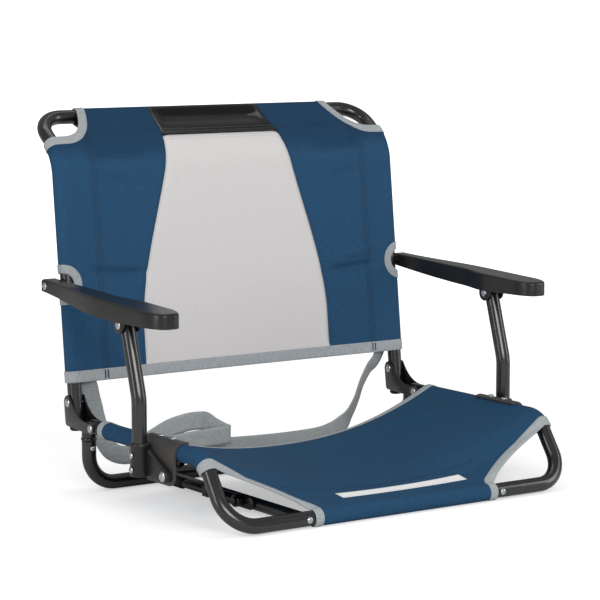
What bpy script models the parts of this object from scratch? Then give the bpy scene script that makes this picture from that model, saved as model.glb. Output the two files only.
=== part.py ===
"""Folding stadium chair: a tubular steel seat and back with slung cloth, folding arms and bench hooks.

Metres, +Z up. The chair faces -Y and stands on the plane Z = 0, with the origin under the middle of its
box. Left and right are the viewer's, looking at its front: left is -X.
"""

import math

import bmesh
import bpy
from mathutils import Matrix, Vector

# Round steel tube
TUBE_R = 0.0095
BORE_R = 0.0078
PLUG_R = 0.0073
SHOULDER = 0.0002
BEND_STEPS = 5
TUBE_SIDES_SETTING = 4
ROD_SIDES_SETTING = 3

# How far cutters and drills reach past a surface
CUT_PAST = 0.010
DRILL_REACH = 0.030

# Gaps between pieces
FIT_GAP = 0.0003
HOLE_GAP = 0.0003
SLEEVE_GAP = 0.00045
SEAM_GAP = 0.0006

# Cloth and webbing
CLOTH = 0.0012
WEBBING = 0.0014
STRAP_WIDTH = 0.025

# Seat frame
FRAME_HALF = 0.262
RAIL_Z = 0.088
FRONT_LEG_RUN = 0.054
FRONT_LEG_BEND = 0.038
FRONT_CORNER_BEND = 0.042
POCKET_INBOARD = 0.121
SCREW_BESIDE_POCKET = 0.010
SCREW_PAST_TUBE_END = 0.033
SWAGE_LENGTH = 0.048
FRONT_SCREW_DEPTH = 0.012
REAR_BEND = 0.038
CONNECTOR_BEND = 0.012
CONNECTOR_AHEAD = 0.018
CONNECTOR_DROP = 0.020
CONNECTOR_PLUG = 0.020
LEG_RIVET_DROP = 0.009
LEG_RIVET_GRIP = 0.010
LEG_RIVET_HEAD_R = 0.0032
RUNNER_R = 0.008
RUNNER_Z = 0.0105

# Back frame, measured from the hinge pivot
HINGE_REACH = 0.314
REAR_LEG_BEHIND = 0.024
UPRIGHT_BEHIND = 0.0563
RECLINE = math.radians(6.3)
UPRIGHT_STRAIGHT = 0.325
TOP_BEND_R = 0.060
TOP_BEND = math.radians(48)
TOP_STRAIGHT = 0.015
TOP_CORNER_R = 0.036
UPRIGHT_BELOW = 0.006
BACK_JOINT_X = 0.060
PLUG_CAP = 0.006

# Hinge plates
PLATE = 0.002
PLATE_LOBE_R = 0.013
PLATE_TOP_R = 0.010
PLATE_HEEL_R = 0.005
PLATE_RIVET_RISE = 0.026
PLATE_DISH = 0.006
RIVET_R = 0.003
RIVET_HEAD_R = 0.0055
RIVET_HEAD = 0.0018

# Arms and their linkage
POST_OUTBOARD = 0.0273
ARM_PIVOT_RISE = 0.180
POST_PIVOT_BEHIND_FRONT = 0.113
POST_PIVOT_Z = 0.060
POST_BEHIND_PIVOT = 0.049
POST_STRAIGHT_TOP = 0.150
POST_BEND_R = 0.060
POST_PAST_PIVOT = 0.008
POST_BOTTOM_Z = 0.058
ARM_WALL = 0.003
ARM_EDGE = 0.0035
ARM_INNER_REAR = 0.013
ARM_INNER_FRONT = 0.004
ARM_OUTER_REAR = 0.034
ARM_OUTER_FRONT = 0.048
ARM_PAST_PIVOT = 0.009
ARM_AHEAD_OF_POST = 0.103
ARM_NOSE = 0.034
ARM_RISE_REAR = 0.009
ARM_RISE_FRONT = -0.004
ARM_DEPTH_REAR = 0.016
ARM_DEPTH_MIDDLE = 0.024
ARM_DEPTH_FRONT = 0.019
ARM_WIDENS_FROM = 0.52
ARM_WIDENS_OVER = 0.20
ARM_FLARES_FROM = 0.05
ARM_FLARES_OVER = 0.50
ARM_DEEPEST = 0.62
ARM_NOSE_PINCH = 0.80
ARM_BOSS_R = 0.0062
ARM_BOSS_LIFT = 0.0015
ARM_BOSS_INSET = 0.001
ARM_BOLT_HEAD_R = 0.0048
ARM_BOLT_HEAD = 0.0018
SPACER_R = 0.0062
SPACER_EXTRA = 0.0002
EAR = 0.003
EAR_R = 0.011
EAR_ROOT_HALF = 0.008
EAR_ROOT_DROP = 0.004
EAR_ROOT_R = 0.002
PIN_R = 0.003

# Post socket and rail saddle
SOCKET_R = 0.012
SOCKET_BORE_R = 0.0100
SOCKET_SIDES = 20
SOCKET_LOW_Z = 0.053
SOCKET_TOP_Z = 0.095
SOCKET_SCREW_Z = (0.062, 0.080)
FIN = 0.009
FIN_BOSS_R = 0.0085
FIN_ROOT_R = 0.004
FIN_ROOT_LOW = 0.005
FIN_ROOT_TOP = 0.008
SOCKET_SCREW_REACH = 0.006
POST_BOLT_HEAD_R = 0.0068
POST_BOLT_HEAD = 0.0024
SADDLE_WALL = 0.0032
SADDLE_LENGTH = 0.078
SADDLE_AHEAD = 0.012
SADDLE_LOW_R = 0.013
SADDLE_INNER_ANGLE = math.radians(122)
SADDLE_SCREW_SPAN = 0.028
SADDLE_SCREW_SHORT = 0.001
SADDLE_TOP_R = 0.002
SADDLE_EDGE_R = 0.004
SADDLE_REAR_RISE = 0.006
SADDLE_ARC_STEPS = 10

# Small screws
SCREW_R = 0.0021
SCREW_HEAD_R = 0.0042
SCREW_HEAD = 0.0020
TURN_STEPS = 10

# Bench hooks
HOOK_ROD_R = 0.005
HOOK_GAP = 0.002
HOOK_Z = 0.014
HOOK_PIVOT_REACH = 0.127
HOOK_SHANK = 0.150
HOOK_CURL_R = 0.013
HOOK_RETURN = 0.018
HOOK_EYE_R = 0.008
HOOK_TIP_WALL = 0.002
HOOK_TIP_AHEAD = 0.022
BRACKET = 0.002
BRACKET_HALF_HEIGHT = 0.008
CLIP_REACH = 0.062
CLIP_LENGTH = 0.014
CLIP_RIM = 0.0005
BRACKET_AHEAD = 0.018
BRACKET_DROP = 0.002
STUD_HEAD = 0.0017

# Seat sling
SLEEVE_FRONT_AHEAD_OF_REAR = 0.2255
SAG_REAR_Z = 0.039
LEVEL_FROM = 0.62
CUT_OUT_POWER = 0.75
POCKET_END_ANGLE = math.radians(-174)
LEAVE_ANGLE = math.radians(133)
WRAP_END_ANGLE = math.radians(-188)

# Back sling, heights along the uprights from the hinge
HEM_RISE = 0.053
SIDE_SLEEVE_TOP = 0.368
SEAM_INBOARD = 0.043
TOP_SLEEVE_HALF = 0.203
TOP_SEAM_DROP = 0.062
MESH_HALF_LOW = 0.150
MESH_HALF_TOP = 0.100
MESH_NARROWS_FROM = 0.112
MESH_NARROWS_TO = 0.382
BACK_SAG = 0.006
HALF_MOON_R = 0.026
HALF_MOON_OUT = 0.011
BEND_LEAD = 0.020

# Carry strap
STRAP_SEWN_INBOARD = 0.019
STRAP_SEWN_RISE = 0.007
STRAP_SEWN_LENGTH = 0.020
STRAP_TURNS_FROM = 0.027
STRAP_TURNS_OVER = 0.025
STRAP_STEEP_FROM = 0.45
STRAP_STEEP_OVER = 0.40

# Places worked out from the sizes above
SLEEVE_R = TUBE_R + SLEEVE_GAP + CLOTH / 2
SLEEVE_OUT = SLEEVE_R + CLOTH / 2
FRONT_Z = SLEEVE_OUT
REAR_Z = TUBE_R
TOP_LEAN = RECLINE + TOP_BEND
TOP_REACH = (
    UPRIGHT_BEHIND
    + UPRIGHT_STRAIGHT * math.sin(RECLINE)
    + TOP_BEND_R * (math.cos(RECLINE) - math.cos(TOP_LEAN))
    + (TOP_STRAIGHT + TOP_CORNER_R) * math.sin(TOP_LEAN)
)
DEPTH = SLEEVE_OUT + HINGE_REACH + TOP_REACH + SLEEVE_OUT
FRONT_Y = SLEEVE_OUT - DEPTH / 2
HINGE_Y = FRONT_Y + HINGE_REACH
REAR_Y = HINGE_Y + REAR_LEG_BEHIND
RAIL_END_Y = HINGE_Y - CONNECTOR_AHEAD - FIT_GAP
POST_PIVOT_Y = FRONT_Y + POST_PIVOT_BEHIND_FRONT
POST_Y = POST_PIVOT_Y + POST_BEHIND_PIVOT
ARM_PIVOT_Y = HINGE_Y + UPRIGHT_BEHIND + ARM_PIVOT_RISE * math.tan(RECLINE)
ARM_PIVOT_Z = RAIL_Z + ARM_PIVOT_RISE
POST_TOP_Y = POST_PIVOT_Y + ARM_PIVOT_Y - HINGE_Y
POST_TOP_Z = POST_PIVOT_Z + ARM_PIVOT_Z - RAIL_Z
SADDLE_OUT = FRAME_HALF + SLEEVE_OUT + FIT_GAP + SADDLE_WALL
POCKET_HALF = FRAME_HALF - POCKET_INBOARD
FRONT_SCREW_X = POCKET_HALF + SCREW_BESIDE_POCKET
SIDE_TUBE_END_X = FRONT_SCREW_X - SCREW_PAST_TUBE_END
POST_X = FRAME_HALF + POST_OUTBOARD
HOOK_X = FRONT_SCREW_X + RUNNER_R + FIT_GAP + BRACKET + HOOK_GAP + HOOK_ROD_R
HOOK_Y = FRONT_Y + HOOK_PIVOT_REACH
TOP_END = UPRIGHT_STRAIGHT + TOP_BEND_R * TOP_BEND + TOP_STRAIGHT + TOP_CORNER_R
SIDES = ((-1, "left"), (1, "right"))


def hex_colour(code):
    """Linear colour of an sRGB hex code."""
    values = [int(code[i:i + 2], 16) / 255 for i in (0, 2, 4)]
    return [v / 12.92 if v <= 0.04045 else ((v + 0.055) / 1.055) ** 2.4 for v in values] + [1.0]


def new_material(name, code, roughness, metallic=0.0):
    material = bpy.data.materials.new(name)
    material.use_nodes = True
    shader = material.node_tree.nodes["Principled BSDF"]
    shader.inputs["Base Color"].default_value = hex_colour(code)
    shader.inputs["Roughness"].default_value = roughness
    shader.inputs["Metallic"].default_value = metallic
    material.diffuse_color = hex_colour(code)
    return material


def start_scene():
    for obj in list(bpy.data.objects):
        bpy.data.objects.remove(obj, do_unlink=True)
    for name in ("stadium_chair", "cutters"):
        collection = bpy.data.collections.new(name)
        bpy.context.scene.collection.children.link(collection)


def add_object(name, data, material=None, parent=None):
    """Puts a mesh or curve in the chair's collection, hung from the empty of the body it moves with."""
    obj = bpy.data.objects.new(name, data)
    bpy.data.collections["stadium_chair"].objects.link(obj)
    if material:
        data.materials.append(MATERIALS[material])
    if parent:
        hang(obj, parent)
    return obj


def hang(obj, pivot):
    obj.parent = PIVOTS[pivot]
    obj.matrix_parent_inverse = PIVOTS[pivot].matrix_world.inverted()


def add_pivot(name, place):
    pivot = bpy.data.objects.new(name, None)
    pivot.location = place
    bpy.data.collections["stadium_chair"].objects.link(pivot)
    bpy.context.view_layer.update()
    return pivot


def make_cutter(obj):
    """Moves a helper out of the chair, so that it only cuts or joins."""
    bpy.data.collections["stadium_chair"].objects.unlink(obj)
    bpy.data.collections["cutters"].objects.link(obj)
    obj.hide_render = True
    obj.display_type = "WIRE"
    return obj


def boolean(obj, other, operation="DIFFERENCE"):
    modifier = obj.modifiers.new(operation.lower(), "BOOLEAN")
    modifier.operation = operation
    modifier.object = make_cutter(other)


def smooth(mesh, angle=40):
    mesh.shade_smooth()
    mesh.set_sharp_from_angle(angle=math.radians(angle))


def curve_to_mesh(curve_object):
    """The mesh that a curve object gives, with its loose caps welded on."""
    bpy.context.view_layer.update()
    graph = bpy.context.evaluated_depsgraph_get()
    mesh = bpy.data.meshes.new_from_object(curve_object.evaluated_get(graph))
    mesh.transform(curve_object.matrix_world)
    bm = bmesh.new()
    bm.from_mesh(mesh)
    bmesh.ops.remove_doubles(bm, verts=bm.verts, dist=1e-6)
    bmesh.ops.recalc_face_normals(bm, faces=bm.faces)
    bm.to_mesh(mesh)
    bm.free()
    bpy.data.objects.remove(curve_object, do_unlink=True)
    return mesh


def rounded_path(corners, radii, steps=BEND_STEPS):
    """Points along straight runs that are joined by arcs."""
    corners = [Vector(corner) for corner in corners]
    points = [corners[0]]
    for before, corner, after, radius in zip(corners, corners[1:], corners[2:], radii):
        into = (corner - before).normalized()
        out = (after - corner).normalized()
        turn = into.angle(out)
        start = corner - into * radius * math.tan(turn / 2)
        centre = start + (out - into * into.dot(out)).normalized() * radius
        axis = into.cross(out).normalized()
        for step in range(steps + 1):
            spin = Matrix.Rotation(turn * step / steps, 3, axis)
            points.append(centre + spin @ (start - centre))
    points.append(corners[-1])
    return points


def smooth_path(points, pieces):
    """A smooth curve through points chosen by hand."""
    points = [Vector(point) for point in points]
    ends = [2 * points[0] - points[1]] + points + [2 * points[-1] - points[-2]]
    path = []
    for a, b, c, d in zip(ends, ends[1:], ends[2:], ends[3:]):
        for step in range(pieces):
            t = step / pieces
            path.append(0.5 * (2 * b + (c - a) * t + (2 * a - 5 * b + 4 * c - d) * t**2
                               + (3 * b - a - 3 * c + d) * t**3))
    path.append(points[-1])
    return path


def tube_mesh(name, path, radius, scales=None, sides=TUBE_SIDES_SETTING):
    """A round bar along a path, whose thickness may change from point to point."""
    curve = bpy.data.curves.new(name, "CURVE")
    curve.dimensions = "3D"
    curve.bevel_depth = radius
    curve.bevel_resolution = sides
    curve.use_fill_caps = True
    spline = curve.splines.new("POLY")
    spline.points.add(len(path) - 1)
    for index, point in enumerate(path):
        spline.points[index].co = (*point, 1)
        spline.points[index].radius = scales[index] if scales else 1
    guide = bpy.data.objects.new(name, curve)
    bpy.data.collections["stadium_chair"].objects.link(guide)
    mesh = curve_to_mesh(guide)
    mesh.name = name
    smooth(mesh)
    return mesh


def outline_mesh(name, outline, thickness, frame):
    """A flat outline made solid. The frame's columns say where its two axes and its thickness point."""
    curve = bpy.data.curves.new(name, "CURVE")
    curve.dimensions = "2D"
    curve.fill_mode = "BOTH"
    curve.extrude = thickness / 2
    spline = curve.splines.new("POLY")
    spline.use_cyclic_u = True
    spline.points.add(len(outline) - 1)
    for point, (across, along) in zip(spline.points, outline):
        point.co = (across, along, 0, 1)
    guide = bpy.data.objects.new(name, curve)
    guide.matrix_world = frame
    bpy.data.collections["stadium_chair"].objects.link(guide)
    mesh = curve_to_mesh(guide)
    mesh.name = name
    smooth(mesh)
    return mesh


def side_frame(x):
    """A plate seen from the side: across is Y, along is Z, thickness is X."""
    return Matrix(((0, 0, 1, x), (1, 0, 0, 0), (0, 1, 0, 0), (0, 0, 0, 1)))


def end_frame(y):
    """A profile seen from the front: across is X, along is Z, thickness is -Y."""
    return Matrix(((1, 0, 0, 0), (0, 0, -1, y), (0, 1, 0, 0), (0, 0, 0, 1)))


def hull_of_circles(circles, steps=24):
    """The outline of a belt drawn tight round circles given as across, along and radius."""
    cloud = sorted({
        (round(a + r * math.cos(math.tau * k / steps), 7), round(b + r * math.sin(math.tau * k / steps), 7))
        for a, b, r in circles for k in range(steps)
    })

    def chain(points):
        kept = []
        for p in points:
            while len(kept) > 1 and (
                (kept[-1][0] - kept[-2][0]) * (p[1] - kept[-2][1])
                - (kept[-1][1] - kept[-2][1]) * (p[0] - kept[-2][0])
            ) <= 1e-9:
                kept.pop()
            kept.append(p)
        return kept[:-1]

    return chain(cloud) + chain(cloud[::-1])


def dished(outline, depth, steps=5):
    """The same outline with its longest edge bowed inwards."""
    ring = [Vector(point) for point in outline]
    first = max(range(len(ring)), key=lambda k: (ring[k] - ring[k - 1]).length)
    start, end = ring[first - 1], ring[first]
    inward = Vector((start.y - end.y, end.x - start.x)).normalized() * depth
    bow = [start.lerp(end, t) + inward * 4 * t * (1 - t) for t in spread(0, 1, steps + 1)[1:-1]]
    return [tuple(point) for point in ring[:first] + bow + ring[first:]]


def rod_mesh(name, start, end, radius, segments=16):
    """A plain cylinder between two points."""
    start, end = Vector(start), Vector(end)
    bm = bmesh.new()
    bmesh.ops.create_cone(bm, cap_ends=True, segments=segments, radius1=radius, radius2=radius,
                          depth=(end - start).length)
    turn = (end - start).to_track_quat("Z", "Y").to_matrix().to_4x4()
    bmesh.ops.transform(bm, matrix=Matrix.Translation((start + end) / 2) @ turn, verts=bm.verts)
    mesh = bpy.data.meshes.new(name)
    bm.to_mesh(mesh)
    bm.free()
    smooth(mesh)
    return mesh


def drill(obj, start, end, radius):
    """A round hole through a piece, with room for a shank of this radius."""
    cutter = add_object(obj.name + "_hole", rod_mesh(obj.name + "_hole", start, end, radius + HOLE_GAP, 12))
    boolean(obj, cutter)


def turned(name, profile, place, points_to, material, parent=None):
    """A turned piece whose profile of radius and height runs from its top down. The top points one way."""
    mesh = bpy.data.meshes.new(name)
    bm = bmesh.new()
    verts = [bm.verts.new((radius, 0, height)) for radius, height in profile]
    for upper, lower in zip(verts, verts[1:]):
        bm.edges.new((upper, lower))
    bm.to_mesh(mesh)
    bm.free()
    obj = add_object(name, mesh, material)
    obj.location = place
    obj.rotation_euler = Vector(points_to).to_track_quat("Z", "Y").to_euler()
    bpy.context.view_layer.update()
    if parent:
        hang(obj, parent)
    screw = obj.modifiers.new("turn", "SCREW")
    screw.steps = TURN_STEPS
    screw.render_steps = TURN_STEPS
    screw.use_merge_vertices = True
    screw.merge_threshold = 1e-5
    screw.use_smooth_shade = True
    return obj


def screw_profile(length, radius=SCREW_R, head_radius=SCREW_HEAD_R, head=SCREW_HEAD):
    """A pan-head screw, with its seat at height 0."""
    return [(0, head), (head_radius * 0.55, head), (head_radius, head * 0.35), (head_radius, 0),
            (radius, 0), (radius, -length), (0, -length)]


def rivet_profile(grip, radius=RIVET_R, head_radius=RIVET_HEAD_R, head=RIVET_HEAD):
    """A rivet with a head on each end of its grip, with its outer seat at height 0."""
    return [(0, head), (head_radius * 0.6, head), (head_radius, head * 0.35), (head_radius, 0),
            (radius, 0), (radius, -grip), (head_radius, -grip), (head_radius, -grip - head * 0.35),
            (head_radius * 0.6, -grip - head), (0, -grip - head)]


def cloth(name, rows, material, parent=None, thickness=CLOTH):
    """A sheet on rows of points, with no cloth where a point is None, thickened to both sides."""
    bm = bmesh.new()
    grid = [[bm.verts.new(point) if point is not None else None for point in row] for row in rows]
    for upper, lower in zip(grid, grid[1:]):
        for corners in zip(upper, upper[1:], lower[1:], lower):
            if None not in corners:
                bm.faces.new(corners)
    bmesh.ops.delete(bm, geom=[v for v in bm.verts if not v.link_faces], context="VERTS")
    mesh = bpy.data.meshes.new(name)
    bm.to_mesh(mesh)
    bm.free()
    mesh.shade_smooth()
    obj = add_object(name, mesh, material, parent)
    solidify = obj.modifiers.new("thickness", "SOLIDIFY")
    solidify.thickness = thickness
    solidify.offset = 0
    solidify.use_even_offset = True
    return obj


def blend(t):
    """A smooth step from 0 to 1."""
    t = min(max(t, 0.0), 1.0)
    return t * t * (3 - 2 * t)


def spread(start, end, count):
    return [start + (end - start) * k / (count - 1) for k in range(count)]


def back_axis(rise):
    """Place, upward direction and backward normal of the upright's axis, at a length up from the hinge."""
    foot = Vector((0, HINGE_Y + UPRIGHT_BEHIND, RAIL_Z))
    bend_length = TOP_BEND_R * TOP_BEND
    lean = RECLINE + min(max(rise - UPRIGHT_STRAIGHT, 0) / TOP_BEND_R, TOP_BEND)
    up_low = Vector((0, math.sin(RECLINE), math.cos(RECLINE)))
    back_low = Vector((0, math.cos(RECLINE), -math.sin(RECLINE)))
    up = Vector((0, math.sin(lean), math.cos(lean)))
    back = Vector((0, math.cos(lean), -math.sin(lean)))
    place = foot + up_low * min(rise, UPRIGHT_STRAIGHT)
    if rise > UPRIGHT_STRAIGHT:
        place += TOP_BEND_R * (back_low - back)
    if rise > UPRIGHT_STRAIGHT + bend_length:
        place += up * (rise - UPRIGHT_STRAIGHT - bend_length)
    return place, up, back


def back_path(side, end_x):
    """The axis of one half of the back frame, from its lower end to a point on the top bar."""
    rises = [-UPRIGHT_BELOW, UPRIGHT_STRAIGHT]
    rises += [UPRIGHT_STRAIGHT + TOP_BEND_R * TOP_BEND * k / BEND_STEPS for k in range(1, BEND_STEPS + 1)]
    across = Vector((side * FRAME_HALF, 0, 0))
    points = [back_axis(rise)[0] + across for rise in rises]
    start, up, _ = back_axis(TOP_END - TOP_CORNER_R)
    inward = Vector((-side, 0, 0))
    for step in range(BEND_STEPS + 1):
        turn = math.pi / 2 * step / BEND_STEPS
        points.append(start + across + TOP_CORNER_R * (math.sin(turn) * up + (1 - math.cos(turn)) * inward))
    end = points[-1].copy()
    end.x = end_x
    points.append(end)
    return points


def seat_tubes():
    """Side tubes that run from rail to front bar, and the swaged tube that joins them across the front."""
    for side, word in SIDES:
        x = side * FRAME_HALF
        path = rounded_path(
            [(x, RAIL_END_Y, RAIL_Z), (x, FRONT_Y + FRONT_LEG_RUN, RAIL_Z), (x, FRONT_Y, FRONT_Z),
             (side * SIDE_TUBE_END_X, FRONT_Y, FRONT_Z)],
            [FRONT_LEG_BEND, FRONT_CORNER_BEND])
        name = "side_tube_" + word
        tube = add_object(name, tube_mesh(name, path, TUBE_R), "black_steel")
        bore_end = side * (SIDE_TUBE_END_X + SWAGE_LENGTH + FIT_GAP)
        boolean(tube, add_object(name + "_bore", rod_mesh(
            name + "_bore", (side * (SIDE_TUBE_END_X - CUT_PAST), FRONT_Y, FRONT_Z),
            (bore_end, FRONT_Y, FRONT_Z), BORE_R)))
        boolean(tube, add_object(name + "_socket", rod_mesh(
            name + "_socket", (x, RAIL_END_Y + CUT_PAST, RAIL_Z),
            (x, RAIL_END_Y - CONNECTOR_PLUG - FIT_GAP, RAIL_Z), BORE_R)))
        screw_x = side * FRONT_SCREW_X
        drill(tube, (screw_x, FRONT_Y - DRILL_REACH, FRONT_Z),
              (screw_x, FRONT_Y + DRILL_REACH, FRONT_Z), SCREW_R)
        for screw_y in saddle_screw_places():
            drill(tube, (x, screw_y, RAIL_Z), (x, screw_y, RAIL_Z + DRILL_REACH), SCREW_R)
    body = SIDE_TUBE_END_X - FIT_GAP
    swage = SIDE_TUBE_END_X + SWAGE_LENGTH
    stations = [-swage, -body - SHOULDER, -body, body, body + SHOULDER, swage]
    scales = [PLUG_R / TUBE_R, PLUG_R / TUBE_R, 1, 1, PLUG_R / TUBE_R, PLUG_R / TUBE_R]
    path = [(x, FRONT_Y, FRONT_Z) for x in stations]
    cross = add_object("front_cross_tube", tube_mesh("front_cross_tube", path, TUBE_R, scales), "black_steel")
    for side, _ in SIDES:
        x = side * FRONT_SCREW_X
        drill(cross, (x, FRONT_Y - DRILL_REACH, FRONT_Z), (x, FRONT_Y + DRILL_REACH, FRONT_Z), SCREW_R)


def rear_leg():
    """The rear legs and the bar between them, one bent tube, with a connector on top of each leg."""
    top = RAIL_Z - CONNECTOR_DROP - FIT_GAP
    x = FRAME_HALF
    path = rounded_path([(-x, REAR_Y, top), (-x, REAR_Y, REAR_Z), (x, REAR_Y, REAR_Z), (x, REAR_Y, top)],
                        [REAR_BEND, REAR_BEND])
    leg = add_object("rear_leg_tube", tube_mesh("rear_leg_tube", path, TUBE_R), "black_steel")
    rivet_z = top - LEG_RIVET_DROP
    for side, word in SIDES:
        x = side * FRAME_HALF
        low = top - CONNECTOR_PLUG - FIT_GAP
        boolean(leg, add_object("rear_leg_socket_" + word, rod_mesh(
            "rear_leg_socket", (x, REAR_Y, top + CUT_PAST), (x, REAR_Y, low), BORE_R)))
        drill(leg, (x, REAR_Y - DRILL_REACH, rivet_z), (x, REAR_Y, rivet_z), SCREW_R)
        name = "rear_connector_" + word
        front = HINGE_Y - CONNECTOR_AHEAD
        elbow = rounded_path([(x, front, RAIL_Z), (x, REAR_Y, RAIL_Z), (x, REAR_Y, RAIL_Z - CONNECTOR_DROP)],
                             [CONNECTOR_BEND])
        front_plug = [elbow[0] - Vector((0, reach, 0)) for reach in (CONNECTOR_PLUG, SHOULDER)]
        low_plug = [elbow[-1] - Vector((0, 0, reach)) for reach in (SHOULDER, CONNECTOR_PLUG)]
        thin = PLUG_R / TUBE_R
        scales = [thin, thin] + [1] * len(elbow) + [thin, thin]
        connector = add_object(name, tube_mesh(name, front_plug + elbow + low_plug, TUBE_R, scales),
                               "gloss_black")
        drill(connector, (x - DRILL_REACH, HINGE_Y, RAIL_Z), (x + DRILL_REACH, HINGE_Y, RAIL_Z), RIVET_R)
        drill(connector, (x, REAR_Y - DRILL_REACH, rivet_z), (x, REAR_Y, rivet_z), SCREW_R)
        turned("leg_rivet_" + word, screw_profile(LEG_RIVET_GRIP - FIT_GAP, head_radius=LEG_RIVET_HEAD_R),
               (x, REAR_Y - TUBE_R - FIT_GAP, rivet_z), (0, -1, 0), "zinc")


def runners():
    """Tubes along the floor that tie the rear bar to the front bar, held by the front screws."""
    rear = REAR_Y - TUBE_R - FIT_GAP
    front = FRONT_Y + TUBE_R + FIT_GAP
    for side, word in SIDES:
        x = side * FRONT_SCREW_X
        name = "runner_" + word
        runner = add_object(name, tube_mesh(name, [(x, rear, RUNNER_Z), (x, front, RUNNER_Z)], RUNNER_R),
                            "black_steel")
        drill(runner, (x, front - CUT_PAST, FRONT_Z),
              (x, front + FRONT_SCREW_DEPTH + FIT_GAP, FRONT_Z), SCREW_R)
        turned("front_screw_" + word, screw_profile(2 * TUBE_R + 2 * FIT_GAP + FRONT_SCREW_DEPTH),
               (x, FRONT_Y - TUBE_R - FIT_GAP, FRONT_Z), (0, -1, 0), "zinc")


def back_tubes():
    """The two halves of the back frame, joined on the top bar by a swaged end, with plugged feet."""
    for side, word in SIDES:
        end_x = -BACK_JOINT_X + side * FIT_GAP / 2
        path = back_path(side, end_x)
        scales = [1] * len(path)
        name = "back_tube_" + word
        if side < 0:
            for reach in (SHOULDER, SWAGE_LENGTH):
                path.append(path[-1] + Vector((reach, 0, 0)))
                scales.append(PLUG_R / TUBE_R)
        tube = add_object(name, tube_mesh(name, path, TUBE_R, scales), "black_steel", "back_pivot")
        if side > 0:
            joint = path[-1]
            far = joint + Vector((SWAGE_LENGTH + 2 * FIT_GAP, 0, 0))
            boolean(tube, add_object(name + "_bore", rod_mesh(
                name + "_bore", joint - Vector((CUT_PAST, 0, 0)), far, BORE_R)))
        foot, up, _ = back_axis(-UPRIGHT_BELOW)
        foot.x = side * FRAME_HALF
        inside = foot + up * (CONNECTOR_PLUG + FIT_GAP)
        boolean(tube, add_object(name + "_foot", rod_mesh(
            name + "_foot", foot - up * CUT_PAST, inside, BORE_R)))
        rivet = hinge_rivet_place(side)
        reach = Vector((DRILL_REACH, 0, 0))
        drill(tube, rivet - reach, rivet + reach, RIVET_R)
        inner = side * (FRAME_HALF - TUBE_R / 2 - FIT_GAP)
        outer = side * (FRAME_HALF + DRILL_REACH)
        drill(tube, (inner, ARM_PIVOT_Y, ARM_PIVOT_Z), (outer, ARM_PIVOT_Y, ARM_PIVOT_Z), PIN_R)
        profile = [(0, CONNECTOR_PLUG), (PLUG_R, CONNECTOR_PLUG), (PLUG_R, -FIT_GAP), (TUBE_R, -FIT_GAP),
                   (TUBE_R, -PLUG_CAP * 0.4), (TUBE_R * 0.75, -PLUG_CAP * 0.85), (TUBE_R * 0.4, -PLUG_CAP),
                   (0, -PLUG_CAP)]
        plug = turned("upright_plug_" + word, profile, foot, up, "rubber", "back_pivot")
        drill(plug, rivet - reach, rivet + reach, RIVET_R)


def hinge_rivet_place(side):
    place, _, _ = back_axis(PLATE_RIVET_RISE)
    place.x = side * FRAME_HALF
    return place


def hinge_plates():
    """A plate on each side of each upright, riveted to it, that turns on the hinge pivot."""
    rivet = hinge_rivet_place(1)
    heel = back_axis(0)[0]
    outline = hull_of_circles([
        (HINGE_Y, RAIL_Z, PLATE_LOBE_R), (rivet.y, rivet.z, PLATE_TOP_R),
        (heel.y + TUBE_R - PLATE_HEEL_R, heel.z, PLATE_HEEL_R)])
    outline = dished(outline, PLATE_DISH)
    grip = TUBE_R + FIT_GAP
    for side, word in SIDES:
        for way, place in ((side, "outer"), (-side, "inner")):
            x = side * FRAME_HALF + way * (grip + PLATE / 2)
            name = f"hinge_plate_{word}_{place}"
            plate = add_object(name, outline_mesh(name, outline, PLATE, side_frame(x)), "black_steel",
                               "back_pivot")
            for y, z in ((HINGE_Y, RAIL_Z), (rivet.y, rivet.z)):
                drill(plate, (x - CUT_PAST, y, z), (x + CUT_PAST, y, z), RIVET_R)
        seat = side * (FRAME_HALF + grip + PLATE + FIT_GAP)
        profile = rivet_profile(2 * (grip + PLATE + FIT_GAP))
        turned("hinge_pivot_" + word, profile, (seat, HINGE_Y, RAIL_Z), (side, 0, 0), "zinc")
        turned("upright_rivet_" + word, profile, (seat, rivet.y, rivet.z), (side, 0, 0), "zinc", "back_pivot")


def arm_station(y):
    """The arm's inner and outer edge, top height and depth at a place along its length."""
    rear = ARM_PIVOT_Y + ARM_PAST_PIVOT
    front = POST_TOP_Y - ARM_AHEAD_OF_POST
    along = (rear - y) / (rear - front)
    widened = blend((along - ARM_WIDENS_FROM) / ARM_WIDENS_OVER)
    flared = blend((along - ARM_FLARES_FROM) / ARM_FLARES_OVER)
    inner = FRAME_HALF + ARM_INNER_REAR + (ARM_INNER_FRONT - ARM_INNER_REAR) * widened
    outer = FRAME_HALF + ARM_OUTER_REAR + (ARM_OUTER_FRONT - ARM_OUTER_REAR) * flared
    top = ARM_PIVOT_Z + ARM_RISE_REAR + (ARM_RISE_FRONT - ARM_RISE_REAR) * along
    if along < ARM_DEEPEST:
        swell = math.sin(math.pi / 2 * along / ARM_DEEPEST)
        depth = ARM_DEPTH_REAR + (ARM_DEPTH_MIDDLE - ARM_DEPTH_REAR) * swell
    else:
        shrink = blend((along - ARM_DEEPEST) / (1 - ARM_DEEPEST))
        depth = ARM_DEPTH_MIDDLE + (ARM_DEPTH_FRONT - ARM_DEPTH_MIDDLE) * shrink
    left = y - front
    if left < ARM_NOSE:
        pinch = 1 - math.sqrt(max(1 - (1 - left / ARM_NOSE) ** 2, 0.0))
        middle = (inner + outer) / 2
        keep = 1 - pinch * ARM_NOSE_PINCH
        inner, outer = middle + (inner - middle) * keep, middle + (outer - middle) * keep
    return inner, outer, top, depth


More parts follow.
